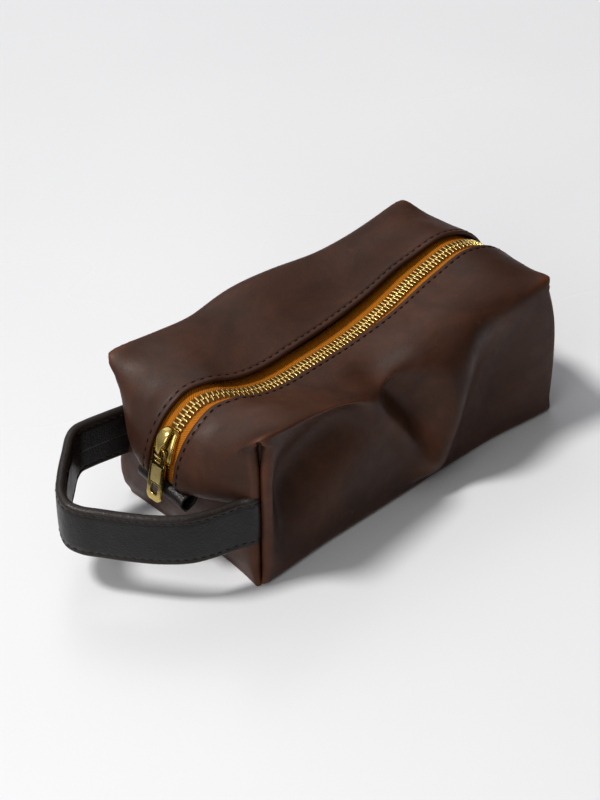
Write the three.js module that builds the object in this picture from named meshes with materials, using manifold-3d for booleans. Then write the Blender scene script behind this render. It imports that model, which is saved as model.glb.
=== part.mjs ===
// A boxed-corner shaving kit bag: soft leather shell, brass zip over the top and both ends, side handle.
// Millimetres. +Z is up and the bag stands on Z = 0. The handle and the parked slider are at the -X end,
// called near; the +X end is called far. -Y is the front long side and +Y the back one.
import * as THREE from "three";
import { mergeVertices } from "three/addons/utils/BufferGeometryUtils.js";
import Module from "manifold-3d";

const wasm = await Module();
wasm.setup();

// Leather shell
const HALF_LENGTH = 115; // centre of the bag to the box seams at each end
const HALF_WIDTH = 59;
const EDGE_HEIGHT = 95; // top edge of the long sides
const LEATHER = 2;
const GAP = 0.3; // clearance between neighbouring solids
const BOTTOM_RISE = 6; // the bottom panel turns up this far all round
const END_SEAM = 47; // height of the level seam across each end
const SLOT = 9; // centre of the zip to the folded leather edge
const FLAT_STRIP = 18; // the leather stays level this far each side of the zip
const WALL_END = 80; // the side walls flex open between -WALL_END and +WALL_END

// Zip line, measured to the middle of the chain: an arc over each end and a sagging run between them
const NEAR_ARC = { x: -95, z: 52, radius: 36 };
const FAR_ARC = { x: 97, z: 59.5, radius: 36 };
const RUN = FAR_ARC.x - NEAR_ARC.x;
const SAG = 9;
const TAPE_HALF = 0.6; // half the thickness of the tape
const LEATHER_LIFT = TAPE_HALF + GAP + LEATHER; // chain middle to the outer face of the leather
const TAPE_INNER = 5.3;
const TAPE_OUTER = 16;
const TOOTH_HALF = 1.7;
const TOOTH_PITCH = 3.6;
const TOOTH_LENGTH = 1.3;
const ROW_OUTER = 5;
const ROW_OVERLAP = 1.2; // each tooth reaches this far past the centre line
const ROOT_INNER = 3.4; // the strip that joins the roots of one row of teeth
const ROOT_HALF = 0.9;
const THREAD = 0.8;
const THREAD_INSET = 12.5; // centre of the zip to the stitch line
const TOP_STOP = { length: 3, half: 1.5, gap: 1 };
const BOTTOM_STOP = { length: 4.4, halfWidth: 4.5, gap: 0.6 };

// Slider, placed by its station on the near arc
const SLIDER_ANGLE = THREE.MathUtils.degToRad(30);
const SLIDER_HALF = 9.5;
const SLIDER_HALF_WIDTH = 7; // over the flanges
const PLATE = { low: 2.1, high: 3.6 }; // lifts of a slider plate's two faces
const CROWN = { foot: 3, nose: 2, height: 5.1, halfWidth: 3, roof: 2, leg: 1.5, block: 5 };
const PAWL = { foot: 8, length: 2.6, lift: 0.4, height: 1.8, halfWidth: 1.2 };

// Pull: a plate with a slot round the crown's roof and a window near the foot
const PULL = { length: 30, width: 10, thickness: 1.6, bar: 1.8, corner: 2 };
const PULL_SLOT = { width: 6.8, length: 9.5 };
const PULL_WINDOW = { width: 5, top: 22, bottom: 27.5 };
const PULL_PLAY = { along: 1.5, lift: 1.55 }; // its bar's centre, from the crown's leg and the body
const PULL_TILT = THREE.MathUtils.degToRad(12);

// Handle and end tab
const STRAP = { height: 32, skin: 2, core: 1.4, stitchInset: 3.5, stitchTrim: 9 };
const CORNER_CUT = { size: 60, back: 4, above: 10 }; // from the end of the strap's line to the cut's edge
const TAB = {
  front: -15,
  back: 13,
  rootX: -125.4,
  rootZ: 44,
  rootHalf: 1.6,
  loopX: -131.8,
  loopZ: 41,
  radius: 5,
  skin: 1.5,
};

const bag = new THREE.Group();
const leatherBrown = { color: 0x4a342b, roughness: 0.55, metalness: 0 };
const leatherBlack = { color: 0x1d1a18, roughness: 0.5, metalness: 0 };
const tapeMustard = { color: 0xc07a1c, roughness: 0.8, metalness: 0 };
const brass = { color: 0xc9a544, roughness: 0.3, metalness: 1 };
const threadBrown = { color: 0x2a1a14, roughness: 0.8, metalness: 0 };
const threadGrey = { color: 0x6a635c, roughness: 0.8, metalness: 0 };

function addPart(name, geometry, finish) {
  const mesh = new THREE.Mesh(geometry, new THREE.MeshStandardMaterial(finish));
  mesh.name = name;
  bag.add(mesh);
  return mesh;
}

function toSolid(geometry) {
  const bare = geometry.clone();
  bare.deleteAttribute("normal");
  bare.deleteAttribute("uv");
  const merged = mergeVertices(bare, 1e-4);
  const vertProperties = new Float32Array(merged.attributes.position.array);
  const triVerts = new Uint32Array(merged.index.array);
  return new wasm.Manifold(new wasm.Mesh({ numProp: 3, vertProperties, triVerts }));
}

function toGeometry(solid) {
  const mesh = solid.getMesh();
  const geometry = new THREE.BufferGeometry();
  geometry.setAttribute("position", new THREE.BufferAttribute(new Float32Array(mesh.vertProperties), 3));
  geometry.setIndex(new THREE.BufferAttribute(new Uint32Array(mesh.triVerts), 1));
  return geometry;
}

function block(low, high) {
  const geometry = new THREE.BoxGeometry(high[0] - low[0], high[1] - low[1], high[2] - low[2]);
  geometry.translate((low[0] + high[0]) / 2, (low[1] + high[1]) / 2, (low[2] + high[2]) / 2);
  return toSolid(geometry);
}

const smooth = (t) => THREE.MathUtils.smoothstep(t, 0, 1);

// ---- Zip line -------------------------------------------------------------------------------------

function runHeight(station) {
  const t = station / RUN;
  const nearTop = NEAR_ARC.z + NEAR_ARC.radius;
  const farTop = FAR_ARC.z + FAR_ARC.radius;
  return THREE.MathUtils.lerp(nearTop, farTop, smooth(t)) - SAG * (4 * t * (1 - t)) ** 2;
}

function arcPoint(arc, side, radius, angle) {
  return new THREE.Vector2(arc.x + side * radius * Math.cos(angle), arc.z + radius * Math.sin(angle));
}

// A station is the distance along X from the top of the near arc. Below 0 it runs down the near arc and
// past RUN down the far one. lift moves the point square to the zip line, outward from the bag.
function zipPoint(station, lift) {
  if (station < 0) {
    const angle = Math.PI / 2 + station / NEAR_ARC.radius;
    const radius = NEAR_ARC.radius + lift;
    return arcPoint(NEAR_ARC, -1, radius, angle);
  }
  if (station > RUN) {
    const angle = Math.PI / 2 - (station - RUN) / FAR_ARC.radius;
    const radius = FAR_ARC.radius + lift;
    return arcPoint(FAR_ARC, 1, radius, angle);
  }
  const slope = runHeight(Math.min(station + 0.5, RUN)) - runHeight(Math.max(station - 0.5, 0));
  const normal = new THREE.Vector2(-slope, 1).normalize();
  return new THREE.Vector2(NEAR_ARC.x + station, runHeight(station)).addScaledVector(normal, lift);
}

const BAND_STEP = 5; // longest straight piece of a band

// A band that follows the zip line between two stations, as thick as its lifts and as wide as its Ys.
function zipBand(from, to, lowLift, highLift, lowY, highY) {
  const steps = Math.max(1, Math.ceil((to - from) / BAND_STEP));
  const stations = Array.from({ length: steps + 1 }, (_, i) => from + ((to - from) * i) / steps);
  const upper = stations.map((station) => zipPoint(station, highLift));
  const lower = stations.map((station) => zipPoint(station, lowLift)).reverse();
  const shape = new THREE.Shape([...upper, ...lower]);
  const geometry = new THREE.ExtrudeGeometry(shape, { depth: highY - lowY, bevelEnabled: false });
  geometry.rotateX(Math.PI / 2);
  geometry.translate(0, highY, 0);
  return geometry;
}

const nearStation = (angle) => (angle - Math.PI / 2) * NEAR_ARC.radius;
const farStation = (angle) => RUN + (Math.PI / 2 - angle) * FAR_ARC.radius;

// ---- Leather --------------------------------------------------------------------------------------

// Heights and depths of the lower end panels on the centre line, from the floor to the foot of the arc.
const LOWER_END = [[115, 0], [118, 12], [120, 24], [121.5, 35], [122.5, 43], [125, END_SEAM]];
const ARC_SHARE = 0.3; // share of the box's half length given to the upper half of each arc

function endProfile(arc, c, inset) {
  const side = Math.sign(arc.x);
  if (c >= 0.5) {
    const point = arcPoint(arc, side, arc.radius + LEATHER_LIFT - inset, (c - 0.5) * (Math.PI / 2));
    return [point.x, point.y];
  }
  const place = (c / 0.5) * LOWER_END.length;
  const index = Math.min(Math.floor(place + 1e-6), LOWER_END.length - 1);
  const foot = [Math.abs(arc.x) + arc.radius + LEATHER_LIFT, arc.z];
  const next = LOWER_END[index + 1] ?? foot;
  const x = THREE.MathUtils.lerp(LOWER_END[index][0], next[0], place - index);
  const z = THREE.MathUtils.lerp(LOWER_END[index][1], next[1], place - index);
  return [side * (x - inset), Math.max(z, inset)];
}

function topProfile(a, inset) {
  const lift = LEATHER_LIFT - inset;
  const overArc = (Math.abs(a) - 1 + ARC_SHARE) / ARC_SHARE;
  if (overArc > 1e-9) {
    const angle = Math.PI / 2 - overArc * (Math.PI / 4);
    const point = zipPoint(a < 0 ? nearStation(angle) : farStation(angle), lift);
    return [point.x, point.y];
  }
  const point = zipPoint(((a / (1 - ARC_SHARE) + 1) / 2) * RUN, lift);
  return [point.x, point.y];
}

// One closed skin of the bag: square at the long sides, following the zip line along the centre.
function bagSkin(inset) {
  const geometry = new THREE.BoxGeometry(2, 2, 1, 40, 16, 12);
  const position = geometry.attributes.position;
  const clean = (value) => Math.round(value * 1e6) / 1e6;
  for (let i = 0; i < position.count; i++) {
    const a = clean(position.getX(i));
    const b = clean(position.getY(i));
    const c = clean(position.getZ(i) + 0.5);
    let centre = [a * (HALF_LENGTH - inset), inset];
    if (Math.abs(a) === 1) centre = endProfile(a < 0 ? NEAR_ARC : FAR_ARC, c, inset);
    else if (c === 1) centre = topProfile(a, inset);
    const edge = [a * (HALF_LENGTH - inset), inset + c * (EDGE_HEIGHT - 2 * inset)];
    const level = FLAT_STRIP / HALF_WIDTH;
    const toEdge = smooth((Math.abs(b) - level) / (1 - level));
    position.setXYZ(
      i,
      THREE.MathUtils.lerp(centre[0], edge[0], toEdge),
      b * (HALF_WIDTH - inset),
      THREE.MathUtils.lerp(centre[1], edge[1], toEdge),
    );
  }
  return toSolid(geometry);
}

const FAR_OUT = 300; // beyond everything, for cutting blocks
const END_FROM = 100; // the end panels lie outside this X
const shell = bagSkin(0).subtract(bagSkin(LEATHER));
const zipSlot = block([-FAR_OUT, -SLOT, END_SEAM + GAP], [FAR_OUT, SLOT, FAR_OUT]);
const upperShell = shell
  .subtract(block([-FAR_OUT, -FAR_OUT, -1], [FAR_OUT, FAR_OUT, BOTTOM_RISE + GAP]))
  .subtract(zipSlot);
const LOWER_PANEL_WIDTH = HALF_WIDTH - LEATHER - 1;

addPart(
  "bottom_panel",
  toGeometry(shell.intersect(block([-FAR_OUT, -FAR_OUT, -1], [FAR_OUT, FAR_OUT, BOTTOM_RISE]))),
  leatherBrown,
);

for (const [end, side] of [["near", -1], ["far", 1]]) {
  const outside = side * FAR_OUT;
  const inside = side * END_FROM;
  const lowX = Math.min(outside, inside);
  const highX = Math.max(outside, inside);
  const lowerPanel = block([lowX, -LOWER_PANEL_WIDTH, 0], [highX, LOWER_PANEL_WIDTH, END_SEAM]);
  const lowerCut = block(
    [lowX, -LOWER_PANEL_WIDTH - GAP, 0],
    [highX, LOWER_PANEL_WIDTH + GAP, END_SEAM + GAP],
  );
  addPart(`${end}_end_lower_panel`, toGeometry(upperShell.intersect(lowerPanel)), leatherBrown);
  const start = side * (WALL_END + GAP);
  for (const [face, way] of [["front", -1], ["back", 1]]) {
    const quarter = block(
      [Math.min(outside, start), Math.min(0, way * FAR_OUT), 0],
      [Math.max(outside, start), Math.max(0, way * FAR_OUT), FAR_OUT],
    );
    const panel = upperShell.intersect(quarter).subtract(lowerCut);
    addPart(`${face}_panel_${end}_end`, toGeometry(panel), leatherBrown);
  }
}

for (const [face, way] of [["front", -1], ["back", 1]]) {
  const middle = block(
    [-WALL_END, Math.min(0, way * FAR_OUT), 0],
    [WALL_END, Math.max(0, way * FAR_OUT), FAR_OUT],
  );
  addPart(`${face}_panel_middle`, toGeometry(upperShell.intersect(middle)), leatherBrown);
}

// ---- Tapes, stitch threads and teeth ----------------------------------------------------------------

const TAPE_END_ANGLE = THREE.MathUtils.degToRad(1);
const ZIP_START = nearStation(TAPE_END_ANGLE);
const ZIP_END = farStation(TAPE_END_ANGLE);
const SLIDER_FROM = nearStation(SLIDER_ANGLE) - SLIDER_HALF;
const CHAIN_START = SLIDER_FROM;
const CHAIN_END = farStation(THREE.MathUtils.degToRad(14));
const WALL_START_STATION = -WALL_END - NEAR_ARC.x;
const WALL_END_STATION = WALL_END - NEAR_ARC.x;
const PART_GAP = 0.6; // between the stretches of the zip, which lean where the run slopes
const STRETCHES = [
  ["near_end", ZIP_START, CHAIN_START, WALL_START_STATION - PART_GAP],
  ["middle", WALL_START_STATION + PART_GAP, WALL_START_STATION + PART_GAP, WALL_END_STATION - PART_GAP],
  ["far_end", WALL_END_STATION + PART_GAP, WALL_END_STATION + PART_GAP, ZIP_END],
];

function toothRow(from, to, way, shift) {
  const across = (a, b) => [Math.min(way * a, way * b), Math.max(way * a, way * b)];
  let row = toSolid(zipBand(from, to, -ROOT_HALF, ROOT_HALF, ...across(ROOT_INNER, ROW_OUTER)));
  const first = Math.ceil((from - shift) / TOOTH_PITCH);
  for (let i = first; i * TOOTH_PITCH + shift + TOOTH_LENGTH < to; i++) {
    const start = i * TOOTH_PITCH + shift;
    const reach = across(-ROW_OVERLAP, ROW_OUTER);
    row = row.add(toSolid(zipBand(start, start + TOOTH_LENGTH, -TOOTH_HALF, TOOTH_HALF, ...reach)));
  }
  return row;
}

for (const [face, way] of [["front", -1], ["back", 1]]) {
  const between = (a, b) => [Math.min(way * a, way * b), Math.max(way * a, way * b)];
  for (const [place, tapeFrom, chainFrom, to] of STRETCHES) {
    const tape = zipBand(tapeFrom, to, -TAPE_HALF, TAPE_HALF, ...between(TAPE_INNER, TAPE_OUTER));
    addPart(`zip_tape_${face}_${place}`, tape, tapeMustard);
    const chainTo = Math.min(to, CHAIN_END);
    const shift = way < 0 ? 0 : TOOTH_PITCH / 2;
    addPart(`zip_teeth_${face}_${place}`, toGeometry(toothRow(chainFrom, chainTo, way, shift)), brass);
    const low = LEATHER_LIFT + GAP;
    const spread = between(THREAD_INSET - THREAD / 2, THREAD_INSET + THREAD / 2);
    const stitching = zipBand(tapeFrom, to, low, low + THREAD, ...spread);
    addPart(`zip_stitching_${face}_${place}`, stitching, threadBrown);
  }
  const stopTo = CHAIN_START - TOP_STOP.gap;
  const width = between(ROW_OVERLAP, ROW_OUTER);
  const stop = zipBand(stopTo - TOP_STOP.length, stopTo, -TOP_STOP.half, TOP_STOP.half, ...width);
  addPart(`zip_top_stop_${face}`, stop, brass);
}
const bottomFrom = CHAIN_END + BOTTOM_STOP.gap;
const bottomStop = zipBand(
  bottomFrom,
  bottomFrom + BOTTOM_STOP.length,
  -TOOTH_HALF,
  TOOTH_HALF,
  -BOTTOM_STOP.halfWidth,
  BOTTOM_STOP.halfWidth,
);
addPart("zip_bottom_stop", bottomStop, brass);

// ---- Slider ---------------------------------------------------------------------------------------

const SLIDER_TO = SLIDER_FROM + 2 * SLIDER_HALF;
const FLANGE_LOW = TAPE_HALF + GAP;
const FLANGE_INNER = ROW_OUTER + 0.4; // 0.4 clears the roots of the teeth

function sliderPlate(sign) {
  const lifts = (a, b) => [Math.min(sign * a, sign * b), Math.max(sign * a, sign * b)];
  const half = SLIDER_HALF_WIDTH;
  let solid = toSolid(zipBand(SLIDER_FROM, SLIDER_TO, ...lifts(PLATE.low, PLATE.high), -half, half));
  for (const way of [-1, 1]) {
    const reach = [way * FLANGE_INNER, way * half].sort((a, b) => a - b);
    const flange = zipBand(SLIDER_FROM, SLIDER_TO, ...lifts(FLANGE_LOW, PLATE.high), ...reach);
    solid = solid.add(toSolid(flange));
  }
  return toGeometry(solid);
}

const crownFrom = SLIDER_FROM + CROWN.foot;
const crownTo = SLIDER_TO - CROWN.nose;
const crownLow = PLATE.high + GAP;
const crownHigh = crownLow + CROWN.height;
const crownTunnelFrom = crownFrom + CROWN.leg;
const crownBlock = toSolid(
  zipBand(crownFrom, crownTo, crownLow, crownHigh, -CROWN.halfWidth, CROWN.halfWidth),
);
const crownTunnel = toSolid(
  zipBand(crownTunnelFrom, crownTo - CROWN.block, 0, crownHigh - CROWN.roof, -HALF_WIDTH, HALF_WIDTH),
);
addPart("slider_body", sliderPlate(1), brass);
addPart("slider_inner_plate", sliderPlate(-1), brass);
addPart("slider_crown", toGeometry(crownBlock.subtract(crownTunnel)), brass);

const pawlFrom = crownTo - PAWL.foot;
const pawlLow = crownLow + PAWL.lift;
const pawl = zipBand(
  pawlFrom,
  pawlFrom + PAWL.length,
  pawlLow,
  pawlLow + PAWL.height,
  -PAWL.halfWidth,
  PAWL.halfWidth,
);
addPart("slider_lock_pawl", pawl, brass);

// ---- Pull -----------------------------------------------------------------------------------------

function roundedOutline(width, top, bottom, radius) {
  const half = width / 2;
  const shape = new THREE.Shape();
  shape.moveTo(-half, top);
  shape.lineTo(-half, bottom + radius);
  shape.absarc(-half + radius, bottom + radius, radius, Math.PI, 1.5 * Math.PI, false);
  shape.absarc(half - radius, bottom + radius, radius, 1.5 * Math.PI, 2 * Math.PI, false);
  shape.lineTo(half, top);
  shape.closePath();
  return shape;
}

function rectangleHole(width, top, bottom) {
  const half = width / 2;
  return new THREE.Path([
    new THREE.Vector2(-half, top),
    new THREE.Vector2(half, top),
    new THREE.Vector2(half, bottom),
    new THREE.Vector2(-half, bottom),
  ]);
}

const pullShape = roundedOutline(PULL.width, PULL.bar / 2, -PULL.length, PULL.corner);
pullShape.holes.push(rectangleHole(PULL_SLOT.width, -PULL.bar / 2, -PULL_SLOT.length));
pullShape.holes.push(rectangleHole(PULL_WINDOW.width, -PULL_WINDOW.top, -PULL_WINDOW.bottom));
const pullGeometry = new THREE.ExtrudeGeometry(pullShape, {
  depth: PULL.thickness,
  bevelEnabled: false,
  curveSegments: 6,
});
pullGeometry.translate(0, 0, -PULL.thickness / 2);
pullGeometry.rotateX(Math.PI / 2);
pullGeometry.rotateZ(Math.PI / 2);
const pivot = zipPoint(crownTunnelFrom + PULL_PLAY.along, crownLow + PULL_PLAY.lift);
const pull = addPart("zip_pull", pullGeometry, brass);
pull.position.set(pivot.x, 0, pivot.y);
pull.rotation.y = PULL_TILT;

// ---- Handle ---------------------------------------------------------------------------------------

// Centre line of the strap at the middle of its height, from the front box seam round to the back one.
const strapLine = new THREE.CatmullRomCurve3([
  new THREE.Vector3(-120.5, -53.5, 41.5),
  new THREE.Vector3(-132, -49, 41),
  new THREE.Vector3(-149, -38, 40),
  new THREE.Vector3(-167, -20, 38.5),
  new THREE.Vector3(-181, 2, 37.5),
  new THREE.Vector3(-185, 18, 38.5),
  new THREE.Vector3(-179, 34, 42),
  new THREE.Vector3(-164, 45, 45.5),
  new THREE.Vector3(-145, 50, 48),
  new THREE.Vector3(-133, 51, 48),
  new THREE.Vector3(-123.5, 50.8, 47.5),
], false, "centripetal");
const STRAP_STEPS = 44;
const STRAP_LENGTH = strapLine.getLength();

// Sweeps an upright rectangle along the strap: across is measured outward from the centre line, up from
// the middle of the height, and trim shortens both ends, or lengthens them when it is negative.
function strapSweep(inward, outward, low, high, trim) {
  const geometry = new THREE.BoxGeometry(1, 1, 1, STRAP_STEPS, 1, 1);
  const position = geometry.attributes.position;
  const margin = trim / STRAP_LENGTH;
  for (let i = 0; i < position.count; i++) {
    const place = THREE.MathUtils.lerp(margin, 1 - margin, position.getX(i) + 0.5);
    const t = THREE.MathUtils.clamp(place, 0, 1);
    const tangent = strapLine.getTangentAt(t);
    const out = new THREE.Vector3(-tangent.y, tangent.x, 0).normalize();
    const point = strapLine.getPointAt(t);
    point.addScaledVector(tangent, (place - t) * STRAP_LENGTH);
    point.addScaledVector(out, position.getY(i) < 0 ? inward : outward);
    const up = position.getZ(i) < 0 ? low : high;
    position.setXYZ(i, point.x, point.y, point.z + up);
  }
  return toSolid(geometry);
}

// The upper corner of each end is cut away at 45 degrees, so that the handle lifts clear of the bag.
function cornerCut(end, way) {
  const geometry = new THREE.BoxGeometry(CORNER_CUT.size, HALF_WIDTH, CORNER_CUT.size);
  geometry.rotateY(Math.PI / 4);
  const reach = CORNER_CUT.size / 2 / Math.SQRT2;
  const x = end.x - CORNER_CUT.back + reach;
  geometry.translate(x, (way * HALF_WIDTH) / 2, end.z + CORNER_CUT.above + reach);
  return toSolid(geometry);
}

const halfStrap = STRAP.height / 2;
const cavity = STRAP.core / 2 + GAP;
const halfThick = cavity + STRAP.skin;
const strapCuts = cornerCut(strapLine.getPoint(0), -1).add(cornerCut(strapLine.getPoint(1), 1));
const wrap = strapSweep(-halfThick, halfThick, -halfStrap, halfStrap, 0)
  .subtract(strapSweep(-cavity, cavity, -halfStrap + STRAP.skin, halfStrap - STRAP.skin, -1))
  .subtract(strapSweep(-halfThick - 1, 0, -GAP, GAP, -1))
  .subtract(strapCuts);
const coreHeight = halfStrap - STRAP.skin - GAP;
const core = strapSweep(-STRAP.core / 2, STRAP.core / 2, -coreHeight, coreHeight, 1).subtract(strapCuts);
addPart("handle_wrap", toGeometry(wrap), leatherBlack);
addPart("handle_core", toGeometry(core), leatherBlack);
for (const [row, way] of [["upper", 1], ["lower", -1]]) {
  const height = way * (halfStrap - STRAP.stitchInset);
  const from = halfThick + GAP;
  const low = height - THREAD / 2;
  const thread = strapSweep(from, from + THREAD, low, low + THREAD, STRAP.stitchTrim);
  addPart(`handle_stitching_${row}`, toGeometry(thread), threadGrey);
}

// ---- End tab --------------------------------------------------------------------------------------

// A strip folded double: two layers side by side at the seam, opening into a round loop at the fold.
function tabOutline(radius, rootHalf) {
  const shape = new THREE.Shape();
  shape.moveTo(TAB.rootX, TAB.rootZ - rootHalf);
  shape.lineTo(TAB.loopX, TAB.loopZ - radius);
  shape.absarc(TAB.loopX, TAB.loopZ, radius, -Math.PI / 2, Math.PI / 2, true);
  shape.lineTo(TAB.rootX, TAB.rootZ + rootHalf);
  shape.closePath();
  return shape;
}

function tabSolid(radius, rootHalf, front, back) {
  const settings = { depth: back - front, bevelEnabled: false, curveSegments: 14 };
  const geometry = new THREE.ExtrudeGeometry(tabOutline(radius, rootHalf), settings);
  geometry.rotateX(Math.PI / 2);
  geometry.translate(0, back, 0);
  return toSolid(geometry);
}

const tabHollow = tabSolid(TAB.radius - TAB.skin, TAB.rootHalf - TAB.skin, TAB.front - 1, TAB.back + 1);
const tabRoot = block([TAB.rootX - 2, -FAR_OUT, 0], [0, FAR_OUT, FAR_OUT]); // joins the two layers
const tab = tabSolid(TAB.radius, TAB.rootHalf, TAB.front, TAB.back).subtract(tabHollow.subtract(tabRoot));
addPart("end_tab", toGeometry(tab), leatherBlack);

export default bag;
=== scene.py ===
"""A brown leather shaving kit bag with a brass zip, a black side handle and a folded end tab.

Measures are in millimetres in the row frame and turned into metres when a mesh is made: +X runs away from
the handle, -Y is the front, +Z is up. The near end is the -X end, with the handle and the parked slider.
"""
import math

import bmesh
import bpy
import numpy as np
from mathutils import Matrix, Vector


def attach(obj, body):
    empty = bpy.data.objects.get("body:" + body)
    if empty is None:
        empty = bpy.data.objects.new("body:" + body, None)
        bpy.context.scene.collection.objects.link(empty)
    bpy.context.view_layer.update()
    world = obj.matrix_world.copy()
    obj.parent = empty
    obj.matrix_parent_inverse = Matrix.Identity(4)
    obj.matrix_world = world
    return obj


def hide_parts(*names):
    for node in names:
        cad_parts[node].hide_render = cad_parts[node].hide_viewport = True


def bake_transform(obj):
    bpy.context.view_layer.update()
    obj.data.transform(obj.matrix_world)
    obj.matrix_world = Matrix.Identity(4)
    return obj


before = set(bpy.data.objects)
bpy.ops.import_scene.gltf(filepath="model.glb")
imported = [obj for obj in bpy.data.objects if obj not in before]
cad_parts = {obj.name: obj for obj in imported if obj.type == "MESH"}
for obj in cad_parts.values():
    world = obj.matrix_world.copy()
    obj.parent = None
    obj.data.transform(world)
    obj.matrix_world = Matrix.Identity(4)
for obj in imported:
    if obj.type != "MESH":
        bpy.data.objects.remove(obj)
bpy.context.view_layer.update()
scene = bpy.context.scene
MM = 0.001
FRONT, BACK = -1, 1
NEAR, FAR = -1, 1
END_NAMES = {NEAR: "near", FAR: "far"}
HALF_LENGTH, HALF_WIDTH = 115, 59  # from the middle of the underside to the box seams


# ---- Camera ---------------------------------------------------------------------------------------

AZIMUTH, ELEVATION, ROLL = math.radians(-43.4), math.radians(36.4), math.radians(-0.5)
CAMERA_DISTANCE = 1190
CAMERA_LENS = 94.5
CAMERA_AIM = Vector((-29.2, 0.3, 50))


def add_camera():
    back = Vector((
        math.sin(AZIMUTH) * math.cos(ELEVATION),
        -math.cos(AZIMUTH) * math.cos(ELEVATION),
        math.sin(ELEVATION),
    ))
    data = bpy.data.cameras.new("camera")
    data.lens = CAMERA_LENS
    data.sensor_width = 36
    data.clip_end = 50
    camera = bpy.data.objects.new("camera", data)
    place = (CAMERA_AIM + back * CAMERA_DISTANCE) * MM
    camera.matrix_world = (
        Matrix.Translation(place)
        @ back.to_track_quat("Z", "Y").to_matrix().to_4x4()
        @ Matrix.Rotation(ROLL, 4, "Z")
    )
    scene.collection.objects.link(camera)
    scene.camera = camera


add_camera()


# ---- Small helpers --------------------------------------------------------------------------------

def smooth(t):
    t = np.clip(t, 0, 1)
    return t * t * (3 - 2 * t)


def curve_through(points):
    """A smooth function of x through (x, value) points, level at both ends."""
    xs = np.array([p[0] for p in points], float)
    ys = np.array([p[1] for p in points], float)
    slopes = np.gradient(ys, xs)
    slopes[0] = slopes[-1] = 0

    def value(x):
        x = np.clip(np.asarray(x, float), xs[0], xs[-1])
        i = np.clip(np.searchsorted(xs, x, side="right") - 1, 0, len(xs) - 2)
        span = xs[i + 1] - xs[i]
        t = (x - xs[i]) / span
        return (
            (2 * t**3 - 3 * t**2 + 1) * ys[i]
            + (t**3 - 2 * t**2 + t) * span * slopes[i]
            + (3 * t**2 - 2 * t**3) * ys[i + 1]
            + (t**3 - t**2) * span * slopes[i + 1]
        )

    return value


def object_from(mesh, name, material):
    """A smooth-shaded piece from a bmesh, which is freed."""
    data = bpy.data.meshes.new(name)
    mesh.to_mesh(data)
    mesh.free()
    data.polygons.foreach_set("use_smooth", [True] * len(data.polygons))
    data.materials.append(material)
    piece = bpy.data.objects.new(name, data)
    scene.collection.objects.link(piece)
    return piece


def new_object(name, vertices, faces, material):
    """A smooth-shaded piece from vertices in millimetres, its faces turned outward."""
    rough = bpy.data.meshes.new("rough")
    rough.from_pydata([tuple(v) for v in np.asarray(vertices) * MM], [], [tuple(f) for f in faces])
    rough.validate()
    mesh = bmesh.new()
    mesh.from_mesh(rough)
    bpy.data.meshes.remove(rough)
    bmesh.ops.recalc_face_normals(mesh, faces=mesh.faces)
    return object_from(mesh, name, material)


def apply_modifiers(piece):
    graph = bpy.context.evaluated_depsgraph_get()
    mesh = bpy.data.meshes.new_from_object(piece.evaluated_get(graph))
    piece.modifiers.clear()
    piece.data = mesh


def bevel_edges(piece, width, segments):
    bevel = piece.modifiers.new("bevel", "BEVEL")
    bevel.width = width * MM
    bevel.segments = segments
    bevel.limit_method = "ANGLE"


def fasten(piece, body, slot, *nodes):
    """Ride a piece on one body, in place of the CAD nodes named."""
    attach(piece, body)
    if nodes:
        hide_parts(*nodes)


def grid_faces(rows, columns, offset=0, flip=False):
    faces = []
    for r in range(rows - 1):
        for c in range(columns - 1):
            a = offset + r * columns + c
            quad = (a, a + 1, a + columns + 1, a + columns)
            faces.append(quad[::-1] if flip else quad)
    return faces


def tube_faces(rings, count, caps=True):
    """Faces round a stack of rings of count points each, and over its two ends."""
    faces = []
    for r in range(rings - 1):
        for c in range(count):
            a, b = r * count + c, r * count + (c + 1) % count
            faces.append((a, b, b + count, a + count))
    if caps:
        faces.append(tuple(range(count))[::-1])
        faces.append(tuple((rings - 1) * count + c for c in range(count)))
    return faces


def sweep(frames, section, caps=True):
    """Vertices and faces of a section of (across, out) points carried along (centre, across, out) frames."""
    vertices = [centre + across * a + out * o for centre, across, out in frames for a, o in section]
    return vertices, tube_faces(len(frames), len(section), caps)


def headings(points):
    """The unit direction of travel at each point of a line."""
    last = len(points) - 1
    ahead = [points[min(i + 1, last)] - points[max(i - 1, 0)] for i in range(len(points))]
    return [step / np.linalg.norm(step) for step in ahead]


def join(parts):
    vertices, faces = [], []
    for part_vertices, part_faces in parts:
        base = len(vertices)
        vertices.extend(part_vertices)
        faces.extend(tuple(base + i for i in face) for face in part_faces)
    return vertices, faces


def rounded_rectangle(half_width, half_height, radius, steps=3):
    points = []
    for sx, sy, start in ((1, 1, 0), (-1, 1, 90), (-1, -1, 180), (1, -1, 270)):
        for k in range(steps + 1):
            angle = math.radians(start + 90 * k / steps)
            points.append((
                sx * (half_width - radius) + radius * math.cos(angle),
                sy * (half_height - radius) + radius * math.sin(angle),
            ))
    return points


# ---- Zip line -------------------------------------------------------------------------------------

# The line of the zip: an arc over each end and a sagging run between them, as the frame has it.
NEAR_X, NEAR_Z, FAR_X, FAR_Z, ARC = -95, 52, 97, 59.5, 36
RUN = FAR_X - NEAR_X
SAG = 9

# How far the soft zip wanders sideways from the bag's middle, along X.
zip_drift = curve_through([
    (-106, 0), (-92, -4), (-74, -8.5), (-52, -9.5), (-28, -8.5), (2, -6.5), (34, -3.5), (64, 0.5), (92, 1.5),
    (112, 0),
])


def run_height(x):
    """The zip's height over the straight run, which sags and has some slack near the handle."""
    t = (x - NEAR_X) / RUN
    line = NEAR_Z + ARC + (FAR_Z - NEAR_Z) * smooth(t) - SAG * (4 * t * (1 - t)) ** 2
    slack = 2.0 * smooth((x - NEAR_X) / 20) * smooth((FAR_X - x) / 25) + 2.5 * np.exp(-(((x + 60) / 22) ** 2))
    return line - slack * smooth((x - NEAR_X) / 12)


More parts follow.
